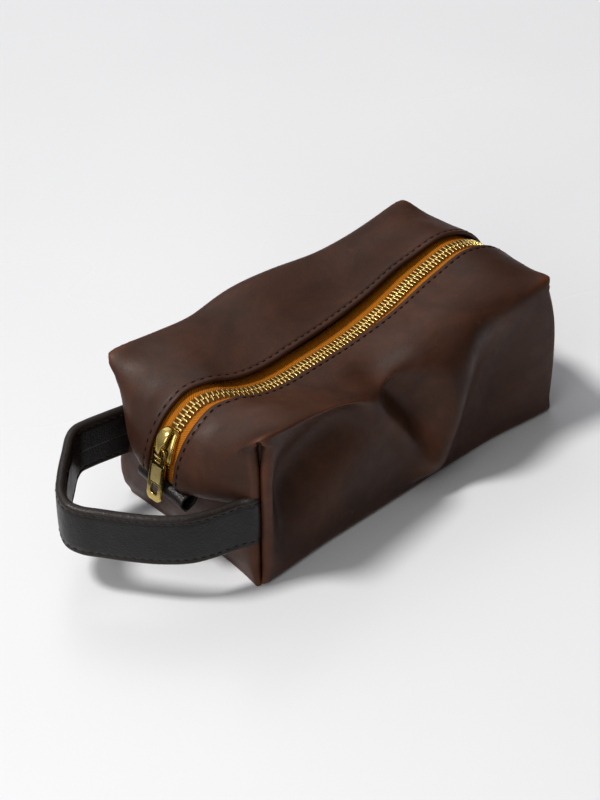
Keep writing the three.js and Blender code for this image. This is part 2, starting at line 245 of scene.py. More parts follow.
def zip_station(station, lift=0.0):
    """X and Z on the zip line. The station runs along X from the top of the near arc, and on down both arcs
    below 0 and past RUN. lift moves the point square to the line, away from the bag."""
    if station < 0:
        angle = math.pi / 2 + station / ARC
        return NEAR_X - (ARC + lift) * math.cos(angle), NEAR_Z + (ARC + lift) * math.sin(angle)
    if station > RUN:
        angle = math.pi / 2 - (station - RUN) / ARC
        return FAR_X + (ARC + lift) * math.cos(angle), FAR_Z + (ARC + lift) * math.sin(angle)
    x = NEAR_X + station
    slope = float(run_height(min(x + 0.5, FAR_X)) - run_height(max(x - 0.5, NEAR_X)))
    length = math.hypot(slope, 1)
    return x - slope / length * lift, float(run_height(x)) + lift / length


def zip_frame(station):
    """The centre of the chain at a station, with the directions along, across and out of it."""
    x, z = zip_station(station)
    ahead_x, ahead_z = zip_station(station + 0.2)
    y = float(zip_drift(x))
    along = Vector((ahead_x - x, float(zip_drift(ahead_x)) - y, ahead_z - z)).normalized()
    out_x, out_z = zip_station(station, 1.0)
    out = Vector((out_x - x, 0, out_z - z)).normalized()
    across = out.cross(along).normalized()
    return [np.array(v) for v in (Vector((x, y, z)), along, across, out)]


def arc_station(end, degrees):
    """The station at an angle up from level on the near or far arc."""
    rest = math.radians(90 - degrees) * ARC
    return -rest if end == NEAR else RUN + rest


# ---- Leather shell --------------------------------------------------------------------------------

LEATHER = 1.4  # thickness
SEAM_HEIGHT = 47.0  # of the seam across each end
FLOOR_GAP = 0.3
BOTTOM_CURL = 4.0  # radius of the side's bend into the underside
HEM = 1.25  # half the thickness of the folded edge beside the zip
STEP = 1.6  # mesh spacing
LIP = {NEAR: 3.6, FAR: 2.4}  # radius of the leather's curl into a box seam
HOOD = 5.0  # the leather closes over the top of each box seam for this height

# Per side: where the folded edge lies from the zip's line, how proud of the chain it stands, and the long
# top edge's height and distance from the middle, all along X.
SIDES = {
    FRONT: {
        "name": "front",
        "edge": curve_through([
            (-134, 10), (-112, 10), (-95, 9.0), (-70, 6.4), (-30, 5.4), (0, 5.8), (30, 7.4), (60, 8.6),
            (90, 8.6), (134, 9),
        ]),
        "proud": curve_through([(-134, 3.2), (-80, 3.4), (0, 3.6), (134, 3.4)]),
        "ridge_z": curve_through([
            (-115, 100), (-95, 96.5), (-70, 92), (-50, 87.5), (-35, 83), (-22, 80), (-12, 80), (0, 84.5),
            (15, 91), (35, 95.5), (75, 96.5), (100, 96.5), (115, 97.5),
        ]),
        "ridge_y": curve_through([
            (-115, 59), (-85, 59), (-55, 59), (-38, 58), (-24, 55.5), (-12, 54), (0, 57), (15, 61),
            (40, 63), (70, 61.5), (95, 60), (115, 59),
        ]),
        "softness": curve_through([
            (-115, 1.3), (-102, 2.5), (-80, 4.5), (-50, 6), (-25, 8), (-12, 12), (5, 20), (30, 25), (55, 22),
            (80, 14), (105, 4), (115, 1.6),
        ]),
        "recess": {
            NEAR: curve_through([(0, -2.0), (12, -2.2), (35, -0.6), (60, -0.8), (85, -0.4), (100, 0)]),
            FAR: curve_through([(0, -4.5), (12, -5), (40, -5.5), (62, -5.0), (85, -2.8), (100, -0.8)]),
        },
    },
    BACK: {
        "name": "back",
        "edge": curve_through([
            (-134, 9), (-112, 9), (-90, 8.6), (-50, 9.6), (0, 10.4), (50, 9.8), (90, 8.5), (134, 9),
        ]),
        "proud": curve_through([(-134, 4), (-100, 5), (-60, 7), (-10, 8), (40, 7.4), (85, 5.5), (134, 4)]),
        "ridge_z": curve_through([
            (-115, 95.5), (-95, 95.5), (-60, 96), (-25, 99.5), (5, 99), (40, 96), (75, 95.5), (100, 97.5),
            (115, 99),
        ]),
        "ridge_y": curve_through([
            (-115, 62.5), (-95, 61), (-70, 61.5), (-45, 63), (-20, 63.5), (5, 62.5), (40, 60), (75, 60),
            (100, 60), (115, 60),
        ]),
        "softness": curve_through([(-115, 1.6), (-70, 6), (0, 9), (70, 7), (105, 3), (115, 1.6)]),
        "recess": {
            NEAR: curve_through([
                (0, 2.0), (10, -2.0), (24, -3.2), (45, 0.5), (66, 0.5), (84, -2.5), (96, -3.5),
            ]),
            FAR: curve_through([(0, 0), (50, -2.0), (85, -2.0), (100, -1.5)]),
        },
    },
}


def bump(x, y, centre, size, turn=0.0):
    """A round hill of height 1 at centre, fading over size, its long way turned by degrees."""
    c, s = math.cos(math.radians(turn)), math.sin(math.radians(turn))
    dx, dy = x - centre[0], y - centre[1]
    return np.exp(-(((dx * c + dy * s) / size[0]) ** 2 + ((-dx * s + dy * c) / size[1]) ** 2))


def along_line(x, y, points):
    """For each (x, y): distance from a polyline, signed by side, and the share of its length reached."""
    points = np.array(points, float)
    best = np.full(np.shape(x), 1e9)
    signed = np.zeros(np.shape(x))
    share = np.zeros(np.shape(x))
    lengths = np.hypot(*np.diff(points, axis=0).T)
    before = np.concatenate([[0], np.cumsum(lengths)])
    for k, length in enumerate(lengths):
        a, b = points[k], points[k + 1]
        d = (b - a) / length
        t = np.clip((x - a[0]) * d[0] + (y - a[1]) * d[1], 0, length)
        px, py = x - a[0] - t * d[0], y - a[1] - t * d[1]
        distance = np.hypot(px, py)
        nearer = distance < best
        side = np.sign(d[0] * (y - a[1]) - d[1] * (x - a[0]))
        best = np.where(nearer, distance, best)
        signed = np.where(nearer, side * distance, signed)
        share = np.where(nearer, (before[k] + t) / before[-1], share)
    return signed, share


def soft_waves(x, y, seed, scale):
    """Slow unevenness of soft leather: a few seeded waves, between about -1 and 1."""
    draw = np.random.default_rng(seed)
    total = np.zeros(np.shape(x))
    for _ in range(7):
        angle, phase, size = draw.uniform(0, math.pi), draw.uniform(0, 2 * math.pi), draw.uniform(0.6, 1.7)
        total += np.sin((x * math.cos(angle) + y * math.sin(angle)) / (scale * size) * 2 * math.pi + phase)
    return total / 4


def front_swell(x, z):
    """How far the front side stands out from flat: dents below zero, bulges above."""
    hollow = -15 * bump(x, z, (-60, 69), (34, 20), 20) - 12 * bump(x, z, (-92, 50), (22, 28), -30)
    bank, _ = along_line(x, z, [(-30, 78), (-20, 68), (-9, 55), (-2, 40), (5, 25)])
    lump = 7 * np.exp(-((bank / 9) ** 2))
    signed, share = along_line(x, z, [(-15, 96), (-11, 80), (-5, 68), (3, 53), (10, 37), (15, 20)])
    crease = -22 * np.clip(1.15 - share, 0, 1) * np.exp(-np.where(signed > 0, signed / 14, signed / 7) ** 2)
    crest, reach = along_line(x, z, [(14, 13), (19, 27), (27, 44), (36, 62), (44, 80)])
    fold = 14 * np.exp(-((crest / 12) ** 2)) * np.clip(1.3 - 0.9 * reach, 0, 1)
    behind = -9 * bump(x, z, (69, 48), (21, 34), -24)
    return hollow + lump + crease + fold + behind + 0.8 * soft_waves(x, z, 5, 60)


def back_swell(x, z):
    """The same for the back side, which only sags a little."""
    belly = 5 * bump(x, z, (-15, 60), (45, 32)) + 3 * bump(x, z, (70, 45), (25, 25))
    signed, share = along_line(x, z, [(-62, 94), (-50, 66), (-36, 44)])
    crease = -5 * (1 - share) * np.exp(-((signed / 11) ** 2)) + 0.8 * soft_waves(x, z, 8, 60)
    return belly + crease - 3.5 * bump(x, z, (38, 62), (20, 26)) - 3 * bump(x, z, (-88, 50), (16, 30))


TOP_WIDTH = 48  # from the zip to the long top edge


def front_top_swell(x, reach):
    """How far the front half of the top stands above its plain loft; reach is 0 at the zip, 1 at the edge."""
    y = reach * TOP_WIDTH
    signed, share = along_line(x, y, [(-14, 8), (-12, 28), (-11, 50)])
    crease = -6.0 * smooth(share * 1.3) * np.exp(-np.where(signed > 0, signed / 9, signed / 20) ** 2)
    crown = 3.5 * bump(x, y, (25, 26), (52, 17)) + 3 * bump(x, y, (-70, 26), (30, 18))
    return crease + crown


def back_top_swell(x, reach):
    """The same for the back half of the top."""
    y = reach * TOP_WIDTH
    signed, share = along_line(x, y, [(-10, 6), (-34, 24), (-48, 48)])
    crease = -1.5 * smooth(share * 1.4) * np.exp(-((signed / 12) ** 2))
    return crease + 2.5 * bump(x, y, (-12, 34), (34, 18)) + 2.0 * bump(x, y, (60, 24), (36, 18))


SIDES[FRONT].update(swell=front_swell, top_swell=front_top_swell)
SIDES[BACK].update(swell=back_swell, top_swell=back_top_swell)

END_COLUMNS = 30
TOP_COLUMNS = 2 * round(HALF_LENGTH / STEP) + 1
UPPER_ROWS = 40
SIDE_ROWS = 60
FOLD_ROWS = 9
CLOSE_ROWS, CLOSE_STEP = 12, 0.42  # rows beside the fold, which hold the line of stitching
STITCH_ROW = 4  # the stitches lie between this row and the next
SEAM_ROWS = END_COLUMNS  # rows of a side above the height of the end seam
TUCK = 0.3  # share of an end column's run that curls in to the seam
STITCH_INSET = 3.4  # from the folded edge to the stitches
CORNER = 1 + math.sqrt(2)  # a lip of radius r starts this many r from the corner


def zip_side_point(kind, place, lift):
    """X and Z beside the zip for a column, lifted square to the zip's line."""
    if kind == "top":
        share = place / HALF_LENGTH
        over = (abs(share) - 0.7) / 0.3
        if over > 0:
            return zip_station(arc_station(NEAR if share < 0 else FAR, 90 - 45 * over), lift)
        return zip_station((share / 0.7 + 1) / 2 * RUN, lift)
    end = NEAR if kind == "near" else FAR
    if place >= TUCK:
        return zip_station(arc_station(end, 3 + 42 * (place - TUCK) / (1 - TUCK)), lift)
    t = place / TUCK
    stop = np.array(zip_station(arc_station(end, 3), lift))
    start = np.array([end * 116, SEAM_HEIGHT - 0.2 - 0.25 * lift])
    middle = np.array([stop[0] + end * 0.5, SEAM_HEIGHT - 0.6 - 0.25 * lift])
    return (1 - t) ** 2 * start + 2 * t * (1 - t) * middle + t * t * stop


def lip_radius(end, z, top):
    """The curl into a box seam opens below the hood at the top and narrows towards the floor."""
    return float(LIP[end] * smooth((top - HOOD - z) / 3) * (0.45 + 0.55 * smooth(z / 14)))


def seam_inset(end, z, top):
    """How far a sheet stops short of the corner, so that the two lips curl in side by side."""
    radius = lip_radius(end, z, top)
    slit = 0.12 + 2.0 * float(smooth((z - top + 30) / 22))
    return (CORNER + slit / LIP[end]) * radius


def corner_top(way, end):
    """The height of a box corner."""
    return float(SIDES[way]["ridge_z"](end * HALF_LENGTH))


def seam_recess(way, end, z):
    """How far a box seam sits in from the straight corner at a height; below zero it bulges out."""
    return float(SIDES[way]["recess"][end](z))


def corner_y(z, top, ridge_y):
    """How far out a side is at a height, before it bulges."""
    return ridge_y + (HALF_WIDTH - ridge_y) * float(smooth((top - z) / (top - 4) * 1.2))


def lip_points(start, outward, heading, radius):
    """A quarter and a half of a turn, then a short run into the bag along the corner's diagonal."""
    points = []
    centre = start - outward * radius
    for k in range(1, 9):
        angle = math.radians(135) * k / 8
        points.append(centre + (outward * math.cos(angle) + heading * math.sin(angle)) * radius)
    inward = (-outward - heading) / math.sqrt(2)
    for k in (1, 2):
        points.append(points[7] + inward * 0.9 * k * radius)
    return points


def lip_strip(edge, outward, heading, end, top):
    """A row of lip points for each point of a sheet's edge."""
    return np.array([
        [point] + lip_points(point, outward, heading, lip_radius(end, point[2], top)) for point in edge
    ])


def upper_columns():
    """Up the near end, over the top and down the far end: each column's part, and its X on the top or its
    share of the height on an end."""
    near = [("near", k / END_COLUMNS) for k in range(END_COLUMNS)]
    top = [("top", place) for place in np.linspace(-HALF_LENGTH, HALF_LENGTH, TOP_COLUMNS)]
    far = [("far", 1 - (k + 1) / END_COLUMNS) for k in range(END_COLUMNS)]
    return near + top + far


def upper_sheet(way):
    """The folded edge, the upper sheet's rows, and the directions out of the leather at the fold."""
    side = SIDES[way]
    columns = upper_columns()
    sheet = np.zeros((UPPER_ROWS, len(columns), 3))
    fold = np.zeros((FOLD_ROWS, len(columns), 3))
    outs = []
    across = np.array([0, way, 0])
    held = CLOSE_STEP * (CLOSE_ROWS - 1)
    for c, (kind, place) in enumerate(columns):
        edge_x = float(zip_side_point(kind, place, 0)[0])
        proud = float(side["proud"](edge_x))
        near = np.array(zip_side_point(kind, place, proud))
        low = np.array(zip_side_point(kind, place, proud - 1))
        out = np.array([near[0] - low[0], 0, near[1] - low[1]])
        out /= np.linalg.norm(out)
        outs.append(out)
        start = np.array([near[0], float(zip_drift(edge_x)), near[1]])
        start += across * (float(side["edge"](edge_x)) + HEM)
        if kind == "top":
            stop = np.array([place, way * float(side["ridge_y"](place)), float(side["ridge_z"](place))])
            power = 1.25
        else:
            end = NEAR if kind == "near" else FAR
            top = corner_top(way, end)
            z = SEAM_HEIGHT + (top - SEAM_HEIGHT) * place
            recess = seam_recess(way, end, z)
            inset = recess + seam_inset(end, z, top)
            y = corner_y(z, top, float(side["ridge_y"](end * HALF_LENGTH)))
            stop = np.array([end * (HALF_LENGTH - recess), way * (y - inset), z])
            power = 1.25 + 0.6 * float(smooth((1 - place) / 0.5))
        span = abs(stop[1] - start[1])
        for r in range(UPPER_ROWS):
            distance = CLOSE_STEP * r
            if r >= CLOSE_ROWS:
                distance = held + (span - held) * (r - CLOSE_ROWS + 1) / (UPPER_ROWS - CLOSE_ROWS)
            v = distance / span
            point = start + (stop - start) * v ** power
            point[1] = start[1] + (stop[1] - start[1]) * v
            groove = math.exp(-((distance - (STITCH_INSET - HEM)) / 0.6) ** 2)
            sheet[r, c] = point - out * 0.35 * groove
        for k in range(FOLD_ROWS - 2):
            angle = math.pi * (1 - k / (FOLD_ROWS - 2))
            fold[k + 2, c] = start - across * HEM * math.sin(angle) - out * HEM * (1 - math.cos(angle))
        fold[1, c] = start + across * 2.2 - out * 2 * HEM
        fold[0, c] = start + across * 4.6 - out * 2 * HEM
    return sheet, fold, outs


def side_sheet(way):
    """Rows down the side from the long top edge to the floor and a little way under."""
    side = SIDES[way]
    sheet = np.zeros((SIDE_ROWS, TOP_COLUMNS, 3))
    bend = BOTTOM_CURL * math.pi / 2
    for c, place in enumerate(np.linspace(-HALF_LENGTH, HALF_LENGTH, TOP_COLUMNS)):
        ridge_z, ridge_y = float(side["ridge_z"](place)), float(side["ridge_y"](place))
        down = ridge_z - BOTTOM_CURL
        length = down + bend + 4
        end = NEAR if place < 0 else FAR
        top = corner_top(way, end)
        above = ridge_z - SEAM_HEIGHT
        for r in range(SIDE_ROWS):
            # The rows beside an end share their heights with the end's own columns.
            s = above * r / SEAM_ROWS
            if r > SEAM_ROWS:
                s = above + (length - above) * (r - SEAM_ROWS) / (SIDE_ROWS - 1 - SEAM_ROWS)
            if s < down:
                y, z = 0.0, ridge_z - s
            elif s < down + bend:
                angle = (s - down) / BOTTOM_CURL
                y, z = BOTTOM_CURL * (math.cos(angle) - 1), BOTTOM_CURL * (1 - math.sin(angle)) + FLOOR_GAP
            else:
                y, z = -BOTTOM_CURL - (s - down - bend), FLOOR_GAP
            recess = seam_recess(way, end, z)
            inset = recess + seam_inset(end, z, min(top, ridge_z + (HALF_LENGTH - abs(place)) / 5))
            near_corner = float(smooth((abs(place) - 60) / 55))
            x = place * (HALF_LENGTH - inset) / HALF_LENGTH
            base = corner_y(z, ridge_z, ridge_y) - recess * near_corner
            u = min(s / down, 1)
            rim = 0.08 if place < 0 else 0.13
            fade = float(smooth(u / rim) * smooth((1 - u) / 0.16) * smooth((113 - abs(place)) / 10))
            swell = float(side["swell"](np.array(x), np.array(z))) * fade
            sheet[r, c] = (x, way * (base + swell + y), z)
    return sheet


def laplacian(points, weights, rounds):
    """Smooth points along the first axis of their grid, by a weight of 0 to 1 for each point."""
    for _ in range(rounds):
        mean = (points[:-2] + points[2:]) / 2
        points[1:-1] += 0.5 * weights[1:-1, :, None] * (mean - points[1:-1])


def relax(sheet, rounds):
    """Even out a sheet inside its four borders."""
    for _ in range(rounds):
        mean = (sheet[:-2, 1:-1] + sheet[2:, 1:-1] + sheet[1:-1, :-2] + sheet[1:-1, 2:]) / 4
        sheet[1:-1, 1:-1] += 0.7 * (mean - sheet[1:-1, 1:-1])


def roll_over_ends(upper):
    """Turn the sharp bend from the top to each end into a broad soft roll, except close to the box corner."""
    columns = np.arange(upper.shape[1])
    rows = np.arange(UPPER_ROWS)[:, None]
    across = smooth((rows - 10) / 8.0) * (1 - 0.98 * smooth((rows - UPPER_ROWS + 14) / 12.0))
    for corner, share in ((END_COLUMNS, 1.0), (END_COLUMNS + TOP_COLUMNS - 1, 0.3)):
        weights = share * across * np.exp(-(((columns - corner) / 11.0) ** 2))[None, :]
        laplacian(upper.transpose(1, 0, 2), weights.T, 140)


def soften(upper, side_rows, way):
    """Round the long edge between the upper and side sheets, more where the leather bends softly."""
    top = slice(END_COLUMNS, END_COLUMNS + TOP_COLUMNS)
    chain = np.concatenate([upper[:, top], side_rows[1:]])
    softness = SIDES[way]["softness"](np.linspace(-HALF_LENGTH, HALF_LENGTH, TOP_COLUMNS))
    distance = np.abs(np.arange(len(chain))[:, None] - (UPPER_ROWS - 1)) * STEP
    reach = 2.2 * np.minimum(softness, 8) + 0.8 * np.maximum(softness - 8, 0)
    rounds = 360
    strength = np.clip((softness / STEP) ** 2 / rounds * 1.4, 0, 1)
    weights = np.exp(-((distance / reach[None, :]) ** 2)) * strength[None, :]
    weights[:CLOSE_ROWS] = 0
    laplacian(chain, weights, rounds)
    upper[:, top] = chain[:UPPER_ROWS]
    side_rows[:] = chain[UPPER_ROWS - 1:]


def swell_top(upper, way):
    """Raise and crease the top, leaving the stitched edge where it is."""
    x, reach = np.meshgrid(np.linspace(-HALF_LENGTH, HALF_LENGTH, TOP_COLUMNS), np.linspace(0, 1, UPPER_ROWS))
    fade = smooth((reach - 0.28) / 0.3) * smooth((110 - np.abs(x)) / 25)
    upper[:, END_COLUMNS:END_COLUMNS + TOP_COLUMNS, 2] += SIDES[way]["top_swell"](x, reach) * fade


def add_grid(mesh, points, flip=False):
    """Add a sheet of quads over rows and columns of points in millimetres."""
    rows, columns = points.shape[:2]
    vertices = [[mesh.verts.new(points[r, c] * MM) for c in range(columns)] for r in range(rows)]
    for r in range(rows - 1):
        for c in range(columns - 1):
            quad = (vertices[r][c], vertices[r][c + 1], vertices[r + 1][c + 1], vertices[r + 1][c])
            mesh.faces.new(quad[::-1] if flip else quad)


def soften_corners(mesh, corners):
    """Round the sheet about its box corners, most at the very corner."""
    for reach, rounds in ((15, 3), (10, 4), (6, 6)):
        for corner in corners:
            spot = Vector(corner) * MM
            near = [v for v in mesh.verts if (v.co - spot).length < reach * MM]
            for _ in range(rounds):
                bmesh.ops.smooth_vert(
                    mesh, verts=near, factor=0.5, use_axis_x=True, use_axis_y=True, use_axis_z=True,
                )


WELD = 0.02 * MM  # vertices of neighbouring sheets closer than this are one
LIP_FOOT = 1.2  # the lips of a box corner stop at this height


def leather_side(way):
    """One side of the bag as a closed-up sheet: folded zip edge, top, both upper ends, side and underside."""
    upper, fold, outs = upper_sheet(way)
    side_rows = side_sheet(way)
    swell_top(upper, way)
    relax(side_rows[:-8], 16)
    relax(upper[CLOSE_ROWS:], 8)
    roll_over_ends(upper)
    soften(upper, side_rows, way)
    flip = way == BACK
    mesh = bmesh.new()
    add_grid(mesh, np.concatenate([fold, upper]), flip)
    add_grid(mesh, side_rows, flip)
    end_columns = {NEAR: slice(0, END_COLUMNS + 1), FAR: slice(END_COLUMNS + TOP_COLUMNS - 1, None)}
    for end in (NEAR, FAR):
        outward, heading = np.array([end, 0, 0]), np.array([0, way, 0])
        top = corner_top(way, end)
        end_lip = lip_strip(upper[-1, end_columns[end]], outward, heading, end, top)
        add_grid(mesh, end_lip.transpose(1, 0, 2), flip)
        edge = side_rows[:, 0 if end == NEAR else -1]
        side_lip = lip_strip(edge[edge[:, 2] > LIP_FOOT], heading, outward, end, top)
        add_grid(mesh, side_lip, flip == (end == FAR))
    bmesh.ops.remove_doubles(mesh, verts=mesh.verts, dist=WELD)
    bmesh.ops.dissolve_degenerate(mesh, edges=mesh.edges, dist=WELD / 4)
    soften_corners(mesh, [side_rows[0, 0], side_rows[0, -1]])
    return mesh, upper, outs


# ---- Materials ------------------------------------------------------------------------------------

class Shader:
    """A material with a principled shader, and short ways to add nodes to it."""

    def __init__(self, name, roughness=0.5, metallic=0.0, specular=0.5):
        self.material = bpy.data.materials.new(name)
        self.material.use_nodes = True
        self.tree = self.material.node_tree
        self.surface = self.tree.nodes["Principled BSDF"]
        self.set(self.surface, {"Roughness": roughness, "Metallic": metallic, "Specular IOR Level": specular})
        self.place = self.tree.nodes.new("ShaderNodeTexCoord").outputs["Object"]

    @staticmethod
    def set(node, values):
        for socket, value in values.items():
            node.inputs[socket].default_value = value

    def link(self, output, node, socket):
        self.tree.links.new(output, node.inputs[socket])

    def mapped(self, source, values):
        node = self.tree.nodes.new("ShaderNodeMapping")
        self.set(node, values)
        self.link(source, node, "Vector")
        return node.outputs["Vector"]

    def noise(self, scale, detail=3.0, roughness=0.55, distortion=0.0, source=None):
        node = self.tree.nodes.new("ShaderNodeTexNoise")
        self.set(node, {"Scale": scale, "Detail": detail, "Roughness": roughness, "Distortion": distortion})
        self.link(source or self.place, node, "Vector")
        return node.outputs["Fac"]

    def cells(self, scale):
        node = self.tree.nodes.new("ShaderNodeTexVoronoi")
        self.set(node, {"Scale": scale})
        self.link(self.place, node, "Vector")
        return node.outputs["Distance"]

    def attribute(self, name):
        node = self.tree.nodes.new("ShaderNodeAttribute")
        node.attribute_name = name
        return node.outputs["Fac"]

    def uv(self, name):
        node = self.tree.nodes.new("ShaderNodeUVMap")
        node.uv_map = name
        return node.outputs["UV"]

    def waves(self, scale, direction, source, distortion):
        node = self.tree.nodes.new("ShaderNodeTexWave")
        node.bands_direction = direction
        self.set(node, {"Scale": scale, "Distortion": distortion})
        self.link(source, node, "Vector")
        return node.outputs["Fac"]

    def span(self, value, low, high, to_low=0, to_high=1):
        """Carry the range low to high over to to_low to to_high, and hold it there."""
        node = self.tree.nodes.new("ShaderNodeMapRange")
        self.set(node, {"From Min": low, "From Max": high, "To Min": to_low, "To Max": to_high})
        self.link(value, node, "Value")
        return node.outputs["Result"]

    def maths(self, operation, a, b):
        node = self.tree.nodes.new("ShaderNodeMath")
        node.operation = operation
        for index, value in enumerate((a, b)):
            if isinstance(value, (int, float)):
                node.inputs[index].default_value = value
            else:
                self.tree.links.new(value, node.inputs[index])
        return node.outputs["Value"]

    def mix(self, amount, a, b):
        node = self.tree.nodes.new("ShaderNodeMix")
        node.data_type = "RGBA"
        self.tree.links.new(amount, node.inputs["Factor"])
        for socket, value in ((node.inputs[6], a), (node.inputs[7], b)):
            if isinstance(value, tuple):
                socket.default_value = (*value, 1)
            else:
                self.tree.links.new(value, socket)
        return node.outputs[2]

    def bump(self, height, distance, strength, below=None):
        node = self.tree.nodes.new("ShaderNodeBump")
        self.set(node, {"Distance": distance, "Strength": strength})
        self.link(height, node, "Height")
        if below is not None:
            self.link(below, node, "Normal")
        return node.outputs["Normal"]

    def finish(self, colour, roughness=None, normal=None):
        for output, socket in ((colour, "Base Color"), (roughness, "Roughness"), (normal, "Normal")):
            if output is not None:
                self.link(output, self.surface, socket)
        return self.material


def brown_leather():
    """Waxed pull-up leather: mottled dark brown that lightens to red-brown where it is bent or rubbed."""
    s = Shader("brown_leather", specular=0.22)
    mottle = s.span(s.noise(26, 4, 0.6, 0.8), 0.35, 0.68)
    base = s.mix(mottle, (0.035, 0.0130, 0.0067), (0.066, 0.0235, 0.0112))
    fine = s.span(s.noise(210, 5, 0.65), 0.38, 0.66)
    base = s.mix(s.maths("MULTIPLY", fine, 0.35), base, (0.034, 0.015, 0.010))
    broken = s.span(s.noise(60, 5, 0.65, 1.0), 0.36, 0.62, 0.45, 1.0)
    wear = s.maths("MULTIPLY", s.attribute("wear"), broken)
    base = s.mix(wear, base, (0.155, 0.048, 0.0165))
    flattened = s.mapped(s.place, {"Scale": (1, 1, 2.2)})
    scuffs = s.span(s.noise(34, 6, 0.7, 1.4, flattened), 0.60, 0.74, 0, 0.35)
    base = s.mix(scuffs, base, (0.110, 0.042, 0.022))
    rough = s.span(s.noise(120, 4, 0.6), 0.3, 0.7, 0.40, 0.56)
    wrinkles = s.bump(s.noise(330, 6, 0.62, 0.7), 0.00035, 0.35)
    grain = s.bump(s.cells(1500), 0.00012, 0.30, wrinkles)
    normal = s.bump(s.noise(2300, 3, 0.6), 0.00006, 0.35, grain)
    return s.finish(base, rough, normal)


def black_leather():
    """Pebbled black-brown bridle leather with slightly rubbed edges."""
    s = Shader("black_leather", specular=0.28)
    mottle = s.span(s.noise(70, 4, 0.6), 0.35, 0.66)
    base = s.mix(mottle, (0.0032, 0.0027, 0.0025), (0.0075, 0.0062, 0.0058))
    base = s.mix(s.maths("MULTIPLY", s.attribute("wear"), 0.5), base, (0.040, 0.026, 0.020))
    rough = s.span(s.noise(240, 4, 0.6), 0.3, 0.7, 0.32, 0.46)
    normal = s.bump(s.noise(300, 6, 0.62, 0.9), 0.0005, 0.40)
    normal = s.bump(s.cells(900), 0.0003, 0.5, normal)
    return s.finish(base, rough, normal)


def woven_tape():
    """Mustard zip tape: fine slanting ribs across a tight weave, with painted shade darkening it under and
    between the teeth. Its UV runs in metres along and across.
    """
    s = Shader("woven_tape", roughness=0.82, specular=0.15)
    uv = s.uv("weave")
    slanted = s.mapped(uv, {"Rotation": (0, 0, math.radians(24))})
    ribs = s.waves(330, "X", slanted, 0.4)
    threads = s.waves(520, "Y", uv, 0.6)
    weave = s.maths("ADD", s.maths("MULTIPLY", ribs, 0.7), s.maths("MULTIPLY", threads, 0.3))
    colour = s.mix(weave, (0.26, 0.070, 0.0025), (0.64, 0.205, 0.0070))
    dirt = s.span(s.noise(160, 4, 0.6), 0.42, 0.72, 0, 0.35)
    colour = s.mix(dirt, colour, (0.24, 0.085, 0.010))
    axes = s.tree.nodes.new("ShaderNodeSeparateXYZ")
    s.link(uv, axes, "Vector")
    # Painted shade: within about 5 mm of the zip's middle the tape is darkened, under and between the teeth,
    # where shade falls.
    under_teeth = s.span(axes.outputs["Y"], 0.0040, 0.0052, 0.85, 0)
    colour = s.mix(under_teeth, colour, (0.045, 0.018, 0.004))
    normal = s.bump(weave, 0.00035, 0.8)
    normal = s.bump(s.noise(3800, 3, 0.6), 0.0001, 0.5, normal)
    return s.finish(colour, None, normal)


def brass(name, low, high, tarnished, rough_low, rough_high, texture):
    """Yellow brass. texture is the scale and depth of the unevenness of its surface."""
    s = Shader(name, metallic=1.0)
    colour = s.mix(s.span(s.noise(180, 4, 0.6), 0.35, 0.7), low, high)
    tarnish = s.span(s.noise(700, 5, 0.7), 0.55, 0.78, 0, 0.6)
    colour = s.mix(tarnish, colour, tarnished)
    rough = s.span(s.noise(420, 4, 0.6), 0.3, 0.7, rough_low, rough_high)
    return s.finish(colour, rough, s.bump(s.noise(texture[0], 3, 0.5), texture[1], 0.4))


def thread(name, dark, light):
    s = Shader(name, roughness=0.85, specular=0.12)
    twist = s.noise(2600, 3, 0.6)
    colour = s.mix(s.span(twist, 0.35, 0.65), dark, light)
    return s.finish(colour, None, s.bump(twist, 0.0002, 0.7))


def floor_finish():
    s = Shader("floor")
    colour = s.mix(s.span(s.noise(3, 3, 0.5), 0.3, 0.7), (0.80, 0.80, 0.815), (0.83, 0.83, 0.84))
    rough = s.span(s.noise(2, 3, 0.5), 0.3, 0.7, 0.26, 0.30)
    return s.finish(colour, rough)


LEATHER_BROWN = brown_leather()
LEATHER_BLACK = black_leather()
TAPE_WEAVE = woven_tape()
# The slider, pull and stops' brass is a little darker than the teeth's: its own tone, darkened further as
# painted shade for the dark surroundings the slider reflects.
BRASS = brass("brass", (0.46, 0.33, 0.09), (0.64, 0.48, 0.16), (0.24, 0.16, 0.05), 0.14, 0.26, (240, 0.00006))
BRASS_TEETH = brass(
    "brass_teeth", (0.52, 0.36, 0.11), (0.70, 0.50, 0.18), (0.20, 0.12, 0.03), 0.20, 0.34, (900, 0.00005),
)
BRASS_FROSTED = brass(
    "brass_frosted", (0.70, 0.54, 0.20), (0.78, 0.62, 0.26), (0.50, 0.37, 0.12), 0.40, 0.52, (5200, 0.00012),
)
THREAD_BROWN = thread("thread_brown", (0.0030, 0.0020, 0.0018), (0.010, 0.0060, 0.0045))
THREAD_GREY = thread("thread_grey", (0.018, 0.012, 0.010), (0.055, 0.040, 0.033))


# ---- Putting the leather together -----------------------------------------------------------------

def vertex_values(mesh, name):
    values = np.zeros(len(mesh.vertices) * 3)
    mesh.vertices.foreach_get(name, values)
    return values.reshape(-1, 3)


